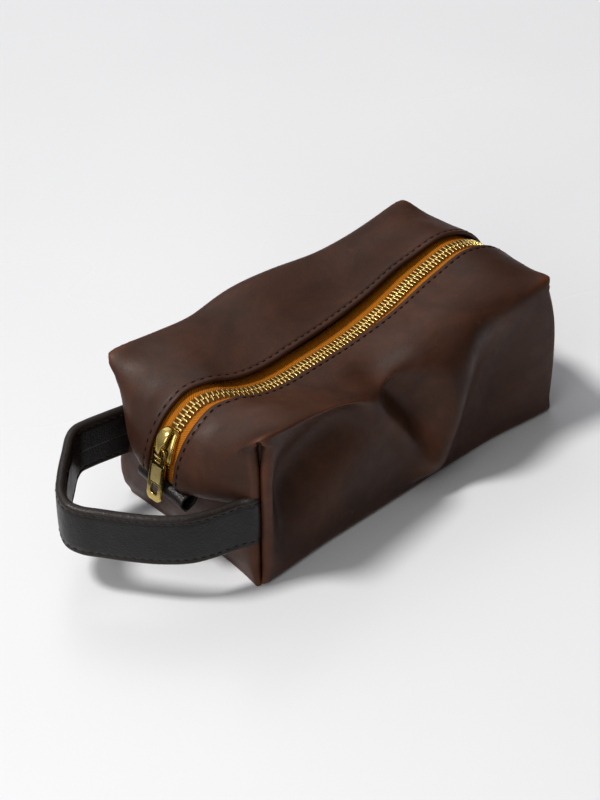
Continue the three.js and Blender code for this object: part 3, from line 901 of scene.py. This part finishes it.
def paint_wear(mesh, extra=None):
    """Store how much each vertex stands out of its neighbours, for the worn colour on folds and lips."""
    count = len(mesh.vertices)
    places, normals = vertex_values(mesh, "co"), vertex_values(mesh, "normal")
    edges = np.zeros(len(mesh.edges) * 2, int)
    mesh.edges.foreach_get("vertices", edges)
    a, b = edges.reshape(-1, 2).T
    step = places[b] - places[a]
    length = np.linalg.norm(step, axis=1) + 1e-9
    rise = np.einsum("ij,ij->i", step, normals[b] - normals[a]) / length**2
    total, share = np.zeros(count), np.zeros(count)
    for end in (a, b):
        np.add.at(total, end, rise * length)
        np.add.at(share, end, length)
    curvature = total / np.maximum(share, 1e-9)
    wear = np.clip((curvature - 45) / 260, 0, 1) ** 0.8
    for _ in range(3):
        spread, weight = np.zeros(count), np.zeros(count)
        for one, other in ((a, b), (b, a)):
            np.add.at(spread, one, wear[other])
            np.add.at(weight, one, 1)
        wear = 0.5 * wear + 0.5 * spread / np.maximum(weight, 1)
    if extra is not None:
        wear = np.clip(wear + extra(places / MM), 0, 1)
    layer = mesh.attributes.new("wear", "FLOAT", "POINT")
    layer.data.foreach_set("value", wear.astype(np.float32))


def turn_outward(mesh, inside_point):
    """Make the faces of an open sheet look away from a point inside the bag."""
    bmesh.ops.recalc_face_normals(mesh, faces=mesh.faces)
    mesh.normal_update()
    outward = sum(f.normal.dot(f.calc_center_median() - inside_point) * f.calc_area() for f in mesh.faces)
    if outward < 0:
        bmesh.ops.reverse_faces(mesh, faces=mesh.faces)


def thicken(piece, thickness):
    modifier = piece.modifiers.new("thickness", "SOLIDIFY")
    modifier.thickness = thickness * MM
    modifier.offset = -1
    apply_modifiers(piece)


def split_at_middle(piece):
    """Cut a piece into its near and far halves, with the shading running on across the cut."""
    whole = piece.data
    normals = [tuple(v.normal) for v in whole.vertices]
    halves = {}
    for end in (NEAR, FAR):
        mesh = bmesh.new()
        mesh.from_mesh(whole)
        order = mesh.verts.layers.int.new("order")
        for v in mesh.verts:
            v[order] = v.index
        gone = [f for f in mesh.faces if (f.calc_center_median().x >= 0) == (end == NEAR)]
        bmesh.ops.delete(mesh, geom=gone, context="FACES")
        kept = [v[order] for v in mesh.verts]
        mesh.verts.layers.int.remove(order)
        half = object_from(mesh, f"{piece.name}_{END_NAMES[end]}", whole.materials[0])
        half.data.normals_split_custom_set_from_vertices([normals[i] for i in kept])
        halves[end] = half
    bpy.data.objects.remove(piece)
    return halves


def follow_wall(piece, end, kind):
    """Bake half of a side in place and hide the CAD parts it stands for. The near half stands for the middle
    stretch as well.
    """
    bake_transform(piece)
    if end == NEAR:
        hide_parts(f"{kind}_near_end", f"{kind}_middle")
    else:
        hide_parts(f"{kind}_far_end")


def unworn_hem(places):
    """Nothing is worn beside the zip."""
    return -1.0 * (np.abs(places[:, 1]) < 17) * (places[:, 2] > SEAM_HEIGHT)


def lay_side(way):
    """Both halves of one side. Returns its line of stitches, as points and the directions out of them."""
    label = SIDES[way]["name"]
    mesh, upper, outs = leather_side(way)
    turn_outward(mesh, Vector((0, 0, 45)) * MM)
    whole = object_from(mesh, f"leather_{label}", LEATHER_BROWN)
    thicken(whole, LEATHER)
    paint_wear(whole.data, unworn_hem)
    for end, half in split_at_middle(whole).items():
        follow_wall(half, end, f"{label}_panel")
    return list(zip((upper[STITCH_ROW] + upper[STITCH_ROW + 1]) / 2, outs))


stitch_lines = {way: lay_side(way) for way in (FRONT, BACK)}


def lay_on_base(mesh, name, *nodes):
    """Finish a sheet of brown leather that rides on the base."""
    turn_outward(mesh, Vector((0, 0, 40)) * MM)
    piece = object_from(mesh, name, LEATHER_BROWN)
    thicken(piece, LEATHER)
    fasten(piece, "base", "leather_brown", *nodes)
    return piece


def lower_end(end):
    """The end panel below the box seam, curling in to the seam above and to the corners at its sides."""
    swell = curve_through([(0, -2.0), (12, 1.5), (24, 4.0), (35, 5.2), (42, 4.2), (46, 2.6)])
    half_width = HALF_WIDTH - 0.5
    columns, rows = 46, 34
    sheet = np.zeros((rows, columns, 3))
    for r in range(rows):
        z = FLOOR_GAP + 45.2 * r / (rows - 3) if r < rows - 2 else 45.9
        tuck = {rows - 2: 1.6, rows - 1: 6.0}.get(r, 0.0)
        for c in range(columns):
            t = -1 + 2 * c / (columns - 1)
            way = FRONT if t < 0 else BACK
            recess = seam_recess(way, end, z)
            y = t * (half_width - recess - seam_inset(end, z, corner_top(way, end)))
            bulge = float(swell(z)) * (1 - abs(t) ** 2.4)
            x = HALF_LENGTH - recess * abs(t) ** 3 + bulge - tuck
            sheet[r, c] = (end * x, y, z)
    mesh = bmesh.new()
    add_grid(mesh, sheet)
    under = [sheet[0] - np.array([end * depth, 0, 0]) for depth in (0, 3, 8)]
    add_grid(mesh, np.array(under))
    for way, c in ((FRONT, 0), (BACK, columns - 1)):
        outward, heading = np.array([end, 0, 0]), np.array([0, way, 0])
        add_grid(mesh, lip_strip(sheet[:-2, c], outward, heading, end, corner_top(way, end)))
    bmesh.ops.remove_doubles(mesh, verts=mesh.verts, dist=WELD)
    name = END_NAMES[end]
    piece = lay_on_base(mesh, f"leather_end_{name}", f"{name}_end_lower_panel")
    paint_wear(piece.data)


ALLOWANCE_HALF = 2.8  # half the width of the strip behind a box corner
ALLOWANCE_BEHIND = 2.4  # how far it lies behind the place where the lips meet


def seam_allowance(end, way):
    """The sewn edges inside a box corner, which stop light between its two lips."""
    side = SIDES[way]
    top, ridge_y = corner_top(way, end), float(side["ridge_y"](end * HALF_LENGTH))
    rows = []
    for z in np.linspace(1.5, top - HOOD - 1, 40):
        depth = seam_recess(way, end, z) + lip_radius(end, z, top) * CORNER / math.sqrt(2) + ALLOWANCE_BEHIND
        x, y = HALF_LENGTH - depth, corner_y(z, top, ridge_y) - depth
        rows.append([(end * (x - k), way * (y + k), z) for k in (-ALLOWANCE_HALF, 0, ALLOWANCE_HALF)])
    mesh = bmesh.new()
    add_grid(mesh, np.array(rows))
    lay_on_base(mesh, f"seam_allowance_{side['name']}_{END_NAMES[end]}")


def underside():
    """The flat bottom, slightly cushioned between its edges so that it rests on a wide middle."""
    half_length, half_width = HALF_LENGTH - 3, HALF_WIDTH - 4.5
    columns, rows = 60, 30
    points = np.zeros((rows, columns, 3))
    for r, y in enumerate(np.linspace(-half_width, half_width, rows)):
        for c, x in enumerate(np.linspace(-half_length, half_length, columns)):
            from_edge = min(half_length - abs(x), half_width - abs(y))
            points[r, c] = (x, y, FLOOR_GAP / 2 + 0.5 * math.exp(-((from_edge / 5) ** 2)))
    mesh = bmesh.new()
    add_grid(mesh, points)
    piece = lay_on_base(mesh, "leather_underside", "bottom_panel")
    paint_wear(piece.data)


for end in (NEAR, FAR):
    lower_end(end)
for end in (NEAR, FAR):
    for way in (FRONT, BACK):
        seam_allowance(end, way)
underside()


# ---- Zip ------------------------------------------------------------------------------------------

TAPE_EDGE = 15.5  # half the width of both tapes
TAPE_TUCK = 11.0  # each tape runs on this far below the arcs, in behind the box seam
TOOTH_PITCH = 2.8
CHAIN_FROM, CHAIN_TO = arc_station(NEAR, 14), arc_station(FAR, 12)
LINE_FROM, LINE_TO = arc_station(NEAR, 1), arc_station(FAR, 1)  # past these the tapes run straight down
MIDDLE_STATION = RUN / 2 - 1
STRETCHES = {NEAR: (LINE_FROM - TAPE_TUCK, MIDDLE_STATION), FAR: (MIDDLE_STATION, LINE_TO + TAPE_TUCK)}


def tape_strip(way, end, name):
    """Half of one tape: a corded inner edge under the teeth and a thin woven web out under the leather."""
    under_teeth = [(0.7, -0.7), (0.45, 0), (0.7, 0.7), (1.6, 0.75), (2.5, 0.35)]
    web = [(d, 0.28) for d in np.linspace(3.4, TAPE_EDGE, 9)]
    under = [(d, -0.28) for d in np.linspace(TAPE_EDGE, 3.4, 5)] + [(2.4, -0.4), (1.6, -0.75)]
    outline = under_teeth + web + under
    first, last = STRETCHES[end]
    stations = np.linspace(first, last, max(3, int((last - first) / STEP)))
    frames = []
    for station in stations:
        on_line = min(max(station, LINE_FROM), LINE_TO)
        centre, along, across, out = zip_frame(on_line)
        frames.append((centre + along * (station - on_line), across * -way, out))
    if frames[0][1][1] * way < 0:
        frames = [(centre, -across, out) for centre, across, out in frames]
    piece = new_object(name, *sweep(frames, outline, caps=False), TAPE_WEAVE)
    layer = piece.data.uv_layers.new(name="weave")
    for loop in piece.data.loops:
        ring, point = divmod(loop.vertex_index, len(outline))
        layer.data[loop.index].uv = (stations[ring] * MM, outline[point][0] * MM)
    return piece


# Half of a tooth's outline from its legs to its head: distance from the zip's middle and half its width.
TOOTH_OUTLINE = [
    (4.4, 0.40), (4.25, 0.62), (2.6, 0.66), (1.8, 0.60), (1.3, 0.56), (0.8, 0.68), (-0.1, 0.70),
    (-0.65, 0.54), (-0.9, 0.28),
]
# Height and size of the outline at each level through the tooth.
TOOTH_LEVELS = [(-1.55, 0.80), (-1.35, 1.0), (1.15, 1.0), (1.5, 0.82), (1.62, 0.5)]
TOOTH_MIDDLE = 1.8


def tooth(centre, along, across, out):
    """One pressed brass tooth: legs that clamp the tape's cord and a rounded head between its neighbours."""
    outline = TOOTH_OUTLINE + [(a, -w) for a, w in reversed(TOOTH_OUTLINE)]
    vertices = []
    for height, size in TOOTH_LEVELS:
        for a, w in outline:
            from_middle = TOOTH_MIDDLE + (a - TOOTH_MIDDLE) * (0.5 + size / 2)
            vertices.append(centre + across * from_middle + along * w * size + out * height)
    return vertices, tube_faces(len(TOOTH_LEVELS), len(outline))


def teeth_row(way, end, name):
    """The teeth of half of one tape. The two tapes' rows are half a pitch apart."""
    first, last = STRETCHES[end]
    parts = []
    for k in range(int((CHAIN_TO - CHAIN_FROM) / TOOTH_PITCH)):
        station = CHAIN_FROM + 0.8 + TOOTH_PITCH * (k + (0.5 if way == BACK else 0))
        if first <= station < last:
            centre, along, across, out = zip_frame(station)
            parts.append(tooth(centre, along, across if across[1] * way > 0 else -across, out))
    piece = new_object(name, *join(parts), BRASS_TEETH)
    bevel_edges(piece, 0.12, 1)
    apply_modifiers(piece)
    return piece


def thread_dash(points, outs, radius, proud):
    """One stitch along three or more points: a short thread whose ends dive into the leather."""
    rings = []
    for i, (point, out, ahead) in enumerate(zip(points, outs, headings(points))):
        across = np.cross(out, ahead)
        across /= np.linalg.norm(across)
        from_middle = abs(2 * i / (len(points) - 1) - 1)
        height = proud - (radius * 1.6 + proud) * from_middle ** 3
        size = radius * (1 - 0.25 * from_middle ** 2)
        rings.append((point + out * height, across * size, out * size * 0.8))
    section = [(math.cos(2 * math.pi * k / 8), math.sin(2 * math.pi * k / 8)) for k in range(8)]
    return sweep(rings, section)


def dashes(line, pitch, length, radius, proud, keep, start=0.0):
    """Stitches of one length at one pitch along a line of (point, out), where keep(middle) is true."""
    points, outs = (np.array(values) for values in zip(*line))
    run = np.concatenate([[0], np.cumsum(np.linalg.norm(np.diff(points, axis=0), axis=1))])
    parts = []
    s = start
    while s + length < run[-1]:
        places = np.linspace(s, s + length, 7)
        at = np.stack([np.interp(places, run, points[:, k]) for k in range(3)], axis=1)
        way_out = np.stack([np.interp(places, run, outs[:, k]) for k in range(3)], axis=1)
        way_out /= np.linalg.norm(way_out, axis=1)[:, None]
        if keep(at[3]):
            parts.append(thread_dash(at, way_out, radius, proud))
        s += pitch
    return parts


def edge_stitching(way, end, name):
    """The stitches beside the zip, in half of one folded edge."""
    def keep(point):
        return (point[0] < 0) == (end == NEAR) and point[2] > SEAM_HEIGHT + 3

    return new_object(name, *join(dashes(stitch_lines[way], 5.2, 3.6, 0.5, 0.12, keep)), THREAD_BROWN)


ZIP_KINDS = (
    ("tape", "zip_tape", tape_strip),
    ("teeth", "brass", teeth_row),
    ("stitching", "thread_brown", edge_stitching),
)
for way in (FRONT, BACK):
    for kind, slot, make in ZIP_KINDS:
        for end in (NEAR, FAR):
            label = SIDES[way]["name"]
            piece = make(way, end, f"{kind}_{label}_{END_NAMES[end]}")
            follow_wall(piece, end, f"zip_{kind}_{label}")


# ---- Slider and pull ------------------------------------------------------------------------------

SLIDER_LENGTH = 19
SLIDER_FROM = arc_station(NEAR, 30) - SLIDER_LENGTH / 2


def arc_point(station, y, lift):
    x, z = zip_station(station, lift)
    return np.array([x, y, z])


def slider_half_width(t):
    """The slider's outline from its mouth, at 0, to its narrow nose, at 1."""
    mouth_round, nose_round = (1 - min(t / 0.1, 1)) ** 2, max(t / 0.1 - 9, 0) ** 2
    return 4.3 + 2.8 * math.cos(math.pi / 2 * t) - 1.5 * mouth_round - 1.4 * nose_round


def domed_plate(base_lift, top_lift, dome):
    """A pressed plate that follows the chain, thick, crowned across and rounded down at its rim."""
    rows, columns = 26, 17
    top, low = [], []
    for r in range(rows):
        t = r / (rows - 1)
        station = SLIDER_FROM + SLIDER_LENGTH * t
        half = slider_half_width(t)
        end_round = min(t, 1 - t) / 0.10
        end_drop = (1 - min(end_round, 1)) ** 2
        for c in range(columns):
            a = -1 + 2 * c / (columns - 1)
            crowned = dome * (1 - a * a) * math.sin(math.pi * (0.15 + 0.7 * t))
            lift = top_lift + crowned - 1.1 * abs(a) ** 6 - 0.9 * end_drop
            top.append(arc_point(station, a * half, lift))
            low.append(arc_point(station, a * half, base_lift))
    count = rows * columns
    faces = grid_faces(rows, columns) + grid_faces(rows, columns, count, True)
    border = [(0, c) for c in range(columns)] + [(r, columns - 1) for r in range(1, rows)]
    border += [(rows - 1, c) for c in range(columns - 2, -1, -1)] + [(r, 0) for r in range(rows - 2, 0, -1)]
    ring = [r * columns + c for r, c in border]
    for k, one in enumerate(ring):
        other = ring[(k + 1) % len(ring)]
        faces.append((other, one, one + count, other + count))
    return top + low, faces


def slider_flange(way):
    """The side wall that closes round the edge of the chain."""
    frames = []
    rows = 22
    for r in range(rows):
        t = 0.04 + 0.92 * r / (rows - 1)
        station = SLIDER_FROM + SLIDER_LENGTH * t
        half = slider_half_width(t)
        out = arc_point(station, 0, 1) - arc_point(station, 0, 0)
        frames.append((arc_point(station, way * (half - 0.75), 1.9), np.array([0, 1, 0]), out))
    return sweep(frames, rounded_rectangle(0.75, 1.25, 0.4))


def slider_crown():
    """The crown that holds the pull: a slim foot between the pull's arms, arching to a broad smooth nose."""
    rows = 36
    points, widths = [], []
    for r in range(rows):
        t = r / (rows - 1)
        power = 3.4 if t < 0.5 else 2.3
        rise = 5.2 * (1 - abs(2 * t - 1) ** power) ** (1 / power)
        points.append(arc_point(SLIDER_FROM + 3.0 + 15.4 * t, 0, 2.7 + rise))
        widths.append(1.9 + 1.7 * float(smooth((t - 0.30) / 0.28)) - 0.8 * float(smooth((t - 0.8) / 0.2)))
    frames = [
        (point, np.array([0, width, 0]), np.cross(ahead, (0, 1, 0)))
        for point, width, ahead in zip(points, widths, headings(points))
    ]
    section = [
        (math.copysign(abs(math.cos(a)) ** 0.7, math.cos(a)), 0.95 * math.sin(a))
        for a in np.linspace(0, 2 * math.pi, 28, endpoint=False)
    ]
    return sweep(frames, section)


def slider_piece():
    parts = [
        domed_plate(2.0, 3.3, 0.9),
        domed_plate(-3.3, -2.3, 0.1),
        slider_flange(FRONT),
        slider_flange(BACK),
        slider_crown(),
    ]
    piece = new_object("slider_shell", *join(parts), BRASS)
    piece.data.set_sharp_from_angle(angle=math.radians(50))
    nodes = ("slider_body", "slider_inner_plate", "slider_crown", "slider_lock_pawl")
    fasten(piece, "slider", "brass", *nodes)


slider_piece()

PIVOT = np.array([-132.739, 0, 69.143])  # of the pull, as the frame has it
TILT = math.radians(12)
PULL_DOWN = np.array([-math.sin(TILT), 0, -math.cos(TILT)])
PULL_OUT = np.array([-math.cos(TILT), 0, math.sin(TILT)])
PULL_ACROSS = np.array([0, 1, 0])


def outline_curve(name, outlines, thickness, bevel, lift, material):
    """A flat plate with holes in the pull's plane. Each outline is a list of (across, down) points."""
    data = bpy.data.curves.new(name, "CURVE")
    data.dimensions = "2D"
    data.fill_mode = "BOTH"
    data.extrude = (thickness / 2 - bevel) * MM
    data.bevel_depth = bevel * MM
    data.bevel_resolution = 3
    for outline in outlines:
        spline = data.splines.new("POLY")
        spline.points.add(len(outline) - 1)
        for point, (across, down) in zip(spline.points, outline):
            point.co = (across * MM, down * MM, 0, 1)
        spline.use_cyclic_u = True
    curve = bpy.data.objects.new(name, data)
    scene.collection.objects.link(curve)
    graph = bpy.context.evaluated_depsgraph_get()
    mesh = bpy.data.meshes.new_from_object(curve.evaluated_get(graph))
    turn = Matrix((
        (*PULL_ACROSS, 0), (*PULL_DOWN, 0), (*PULL_OUT, 0), (0, 0, 0, 1),
    )).transposed()
    centre = PIVOT + PULL_OUT * lift
    mesh.transform(Matrix.Translation(Vector(centre) * MM) @ turn)
    bpy.data.objects.remove(curve)
    piece = bpy.data.objects.new(name, mesh)
    scene.collection.objects.link(piece)
    mesh.materials.clear()
    mesh.materials.append(material)
    mesh.polygons.foreach_set("use_smooth", [True] * len(mesh.polygons))
    mesh.set_sharp_from_angle(angle=math.radians(40))
    return piece


def rounded_outline(half, top, bottom, radii, steps=8):
    """Corners in (across, down), with one radius for the two at the top and one for the two below."""
    points = []
    above, below = radii
    corners = ((1, bottom, below, 0), (-1, bottom, below, 90), (-1, top, above, 180), (1, top, above, 270))
    for side, down, radius, start in corners:
        inner = down - radius if down == bottom else down + radius
        for k in range(steps + 1):
            angle = math.radians(start + 90 * k / steps)
            across = side * (half - radius) + radius * math.cos(angle)
            points.append((across, inner + radius * math.sin(angle)))
    return points


def pull_piece():
    shoulders = rounded_outline(5.3, 6.6, 29.8, (1.6, 3.0))
    arms = rounded_outline(4.2, -1.6, 9.0, (1.4, 0.6))
    loop_hole = rounded_outline(2.55, 0.1, 6.6, (1.0, 1.0))
    foot_hole = rounded_outline(3.1, 19.8, 26.6, (0.8, 2.2))
    frosted = rounded_outline(3.7, 8.6, 18.6, (0.7, 0.7))
    plate = outline_curve("zip_pull_plate", [shoulders, foot_hole], 1.7, 0.35, 0, BRASS)
    head = outline_curve("zip_pull_head", [arms, loop_hole], 1.9, 0.5, 0, BRASS)
    panel = outline_curve("zip_pull_panel", [frosted], 0.9, 0.12, 0.52, BRASS_FROSTED)
    fasten(plate, "pull", "brass", "zip_pull")
    fasten(head, "pull", "brass")
    fasten(panel, "pull", "brass")


pull_piece()


def end_stops():
    """The small brass stops: one on each tape below the slider, and one across both at the far end."""
    def block(station, y, half_along, half_across):
        centre, along, across, out = zip_frame(station)
        ends = [(centre + (0, y, 0) + along * k, across, out) for k in (-half_along, half_along)]
        return sweep(ends, rounded_rectangle(half_across, 1.5, 0.7))

    near_station = arc_station(NEAR, 10)
    parts = [block(near_station, way * 3.2, 1.5, 1.7) for way in (FRONT, BACK)]
    near = new_object("zip_top_stops", *join(parts), BRASS)
    far = new_object("zip_bottom_stop_clip", *block(arc_station(FAR, 9), 0, 2.2, 4.6), BRASS)
    for piece, nodes in ((near, ("zip_top_stop_front", "zip_top_stop_back")), (far, ("zip_bottom_stop",))):
        bevel_edges(piece, 0.3, 3)
        apply_modifiers(piece)
        fasten(piece, "base", "brass", *nodes)


end_stops()


# ---- Handle ---------------------------------------------------------------------------------------

STRAP_HALF = 16
STRAP_THICK = 2.7  # half its thickness
STRAP_STITCHES = STRAP_HALF - 3.5  # the two lines of stitching, from the strap's middle
STRAP_POINTS = [
    (-108, -49.5, 42.5), (-113.5, -52.5, 42), (-121, -48.8, 41.2), (-134, -44.5, 40.3), (-147, -39, 40.2),
    (-159.3, -28.3, 40.3), (-169.3, -16, 40.5), (-178, -3.5, 40.8), (-184, 6, 40.8), (-185.8, 14.5, 41),
    (-182.3, 24, 41.5), (-174, 33.3, 43.8), (-163, 43, 46.8), (-154, 50.5, 48.8), (-148, 53.2, 49.6),
    (-140, 53, 49.6), (-128, 51.5, 49.2), (-118, 50.5, 48.5), (-111, 50, 48), (-106, 48, 47.5),
]


def centripetal(points, steps):
    """A Catmull-Rom curve through the points, spaced by the square root of their distances."""
    points = [np.array(p, float) for p in points]
    points = [2 * points[0] - points[1]] + points + [2 * points[-1] - points[-2]]
    curve = []
    for k in range(1, len(points) - 2):
        p0, p1, p2, p3 = points[k - 1:k + 3]
        t0 = 0.0
        t1 = t0 + math.sqrt(np.linalg.norm(p1 - p0))
        t2 = t1 + math.sqrt(np.linalg.norm(p2 - p1))
        t3 = t2 + math.sqrt(np.linalg.norm(p3 - p2))
        for s in range(steps):
            t = t1 + (t2 - t1) * s / steps
            a1 = ((t1 - t) * p0 + (t - t0) * p1) / (t1 - t0)
            a2 = ((t2 - t) * p1 + (t - t1) * p2) / (t2 - t1)
            a3 = ((t3 - t) * p2 + (t - t2) * p3) / (t3 - t2)
            b1 = ((t2 - t) * a1 + (t - t0) * a2) / (t2 - t0)
            b2 = ((t3 - t) * a2 + (t - t1) * a3) / (t3 - t1)
            curve.append(((t2 - t) * b1 + (t - t1) * b2) / (t2 - t1))
    curve.append(points[-2])
    return curve


def strap_frames():
    curve = centripetal(STRAP_POINTS, 14)
    frames = []
    for point, ahead in zip(curve, headings(curve)):
        up = np.array([0, 0, 1.0]) - ahead * ahead[2]
        up /= np.linalg.norm(up)
        out = np.cross(up, ahead)
        frames.append((point, up, out))
    middle = frames[len(frames) // 2]
    if middle[2][0] > 0:
        frames = [(p, up, -out) for p, up, out in frames]
    return frames


def strap_section():
    """The outer face, slightly padded, at +out, round edges, and one folded edge over the other behind."""
    rim = 2.2
    flat = STRAP_HALF - rim

    def stitch_dip(across):
        return math.exp(-((abs(across) - STRAP_STITCHES) / 0.8) ** 2)

    points = [
        (a * flat, STRAP_THICK + 0.35 * (1 - a * a) - 0.45 * stitch_dip(a * flat))
        for a in np.linspace(-1, 1, 27)
    ]
    for k in range(1, 8):
        angle = math.pi / 2 - math.pi * k / 8
        points.append((flat + rim * math.cos(angle), STRAP_THICK * math.sin(angle)))
    for across in np.linspace(flat, -flat, 53):
        overlap = 0.6 * float(smooth((across + 1.3) / 0.5)) * float(smooth((flat - across) / 3))
        points.append((across, -STRAP_THICK + 0.4 * stitch_dip(across) - overlap))
    for k in range(1, 8):
        angle = -math.pi / 2 - math.pi * k / 8
        points.append((rim * math.cos(angle) - flat, STRAP_THICK * math.sin(angle)))
    return points


def bend_with_handle(piece, slot, *nodes):
    """Bake a piece in place and hide the CAD parts it stands for."""
    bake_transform(piece)
    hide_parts(*nodes)


def strap():
    frames = strap_frames()
    piece = new_object("handle_leather", *sweep(frames, strap_section()), LEATHER_BLACK)
    paint_wear(piece.data)
    bend_with_handle(piece, "leather_black", "handle_wrap", "handle_core")
    for side, node in ((1, "upper"), (-1, "lower")):
        parts = []
        for face in (1, -1):
            line = []
            for point, up, out in frames:
                place = point + up * side * STRAP_STITCHES + out * face * (STRAP_THICK - 0.25)
                line.append((place, out * face))
            parts += dashes(line, 4.7, 3.7, 0.48, 0.16, lambda point: point[0] < -113, start=0.6)
        stitching = new_object(f"handle_stitches_{node}", *join(parts), THREAD_GREY)
        bend_with_handle(stitching, "thread_grey", f"handle_stitching_{node}")


strap()


# ---- End tab --------------------------------------------------------------------------------------

def end_tab_piece():
    """A short strip folded back on itself and caught in the end seam, its front end hanging lower."""
    radius = 4.4
    path = [(-117.0, 47.6), (-120, 49.2), (-123, 51.0), (-126.5, 52.4), (-129.5, 52.7)]
    centre = (-131.0, 48.2)
    for k in range(1, 13):
        angle = math.radians(98 + 170 * k / 13)
        path.append((centre[0] + radius * math.cos(angle), centre[1] + radius * math.sin(angle)))
    path += [(-129.5, 43.8), (-126, 44.2), (-122.8, 45.4)]
    columns = 19
    points = np.zeros((len(path), columns, 3))
    for r, (x, z) in enumerate(path):
        for c in range(columns):
            t = c / (columns - 1)
            y = -19.5 + 36.5 * t
            loose = float(smooth((-x - 119) / 12))
            droop = -4.0 * (1 - t) ** 1.3 * loose
            gape = -0.9 * (1 - t) if z < 44.5 else 0
            points[r, c] = (x - 1.0 * (1 - t) * loose, y, z + droop + gape)
    mesh = bmesh.new()
    add_grid(mesh, points)
    turn_outward(mesh, Vector((-128, 0, 45)) * MM)
    piece = object_from(mesh, "end_tab_loop", LEATHER_BLACK)
    thicken(piece, 1.5)
    bevel_edges(piece, 0.3, 2)
    apply_modifiers(piece)
    paint_wear(piece.data)
    fasten(piece, "tab", "leather_black", "end_tab")


end_tab_piece()


# ---- Floor and light ------------------------------------------------------------------------------

def floor():
    mesh = bmesh.new()
    size = 6.0
    corners = [mesh.verts.new((x * size, y * size, -0.0001)) for x, y in ((-1, -1), (1, -1), (1, 1), (-1, 1))]
    mesh.faces.new(corners)
    object_from(mesh, "floor", floor_finish())


def area_light(name, place, aim, size, power, colour):
    data = bpy.data.lights.new(name, "AREA")
    data.shape = "RECTANGLE"
    data.size, data.size_y = size
    data.energy = power
    data.color = colour
    light = bpy.data.objects.new(name, data)
    light.location = place
    direction = Vector(aim) - Vector(place)
    light.rotation_euler = direction.to_track_quat("-Z", "Y").to_euler()
    scene.collection.objects.link(light)


def sun(name, toward, width_degrees, strength, colour):
    """A distant lamp whose light comes from the direction toward."""
    data = bpy.data.lights.new(name, "SUN")
    data.energy = strength
    data.angle = math.radians(width_degrees)
    data.color = colour
    light = bpy.data.objects.new(name, data)
    light.rotation_euler = Vector(toward).to_track_quat("Z", "Y").to_euler()
    scene.collection.objects.link(light)


floor()
sun("key", (-0.38, 0.31, 0.87), 12, 2.35, (1.0, 0.99, 0.97))
area_light("side", (-0.85, -0.34, 0.58), (-0.05, 0, 0.05), (0.45, 0.45), 2.0, (1.0, 0.985, 0.965))
area_light("back", (0.35, 1.2, 1.2), (0, 0, 0.05), (1.3, 0.9), 4, (0.98, 0.99, 1.0))


def studio_world():
    """Soft light from one side of the room: bright towards the window, dark away from it."""
    world = bpy.data.worlds.new("studio")
    world.use_nodes = True
    tree = world.node_tree
    place = tree.nodes.new("ShaderNodeTexCoord")
    toward = tree.nodes.new("ShaderNodeVectorMath")
    toward.operation = "DOT_PRODUCT"
    toward.inputs[1].default_value = (-0.40, 0.36, 0.84)
    spread = tree.nodes.new("ShaderNodeMapRange")
    spread.inputs["From Min"].default_value = 0.15
    ramp = tree.nodes.new("ShaderNodeValToRGB")
    tree.links.new(place.outputs["Generated"], toward.inputs[0])
    tree.links.new(toward.outputs["Value"], spread.inputs["Value"])
    tree.links.new(spread.outputs["Result"], ramp.inputs["Fac"])
    ramp.color_ramp.elements[0].position = 0.0
    ramp.color_ramp.elements[0].color = (0.03, 0.031, 0.034, 1)
    ramp.color_ramp.elements[1].position = 0.95
    ramp.color_ramp.elements[1].color = (0.95, 0.97, 1.0, 1)
    tree.links.new(ramp.outputs["Color"], tree.nodes["Background"].inputs["Color"])
    tree.nodes["Background"].inputs["Strength"].default_value = 0.52
    return world


scene.world = studio_world()
scene.view_settings.view_transform = "Standard"
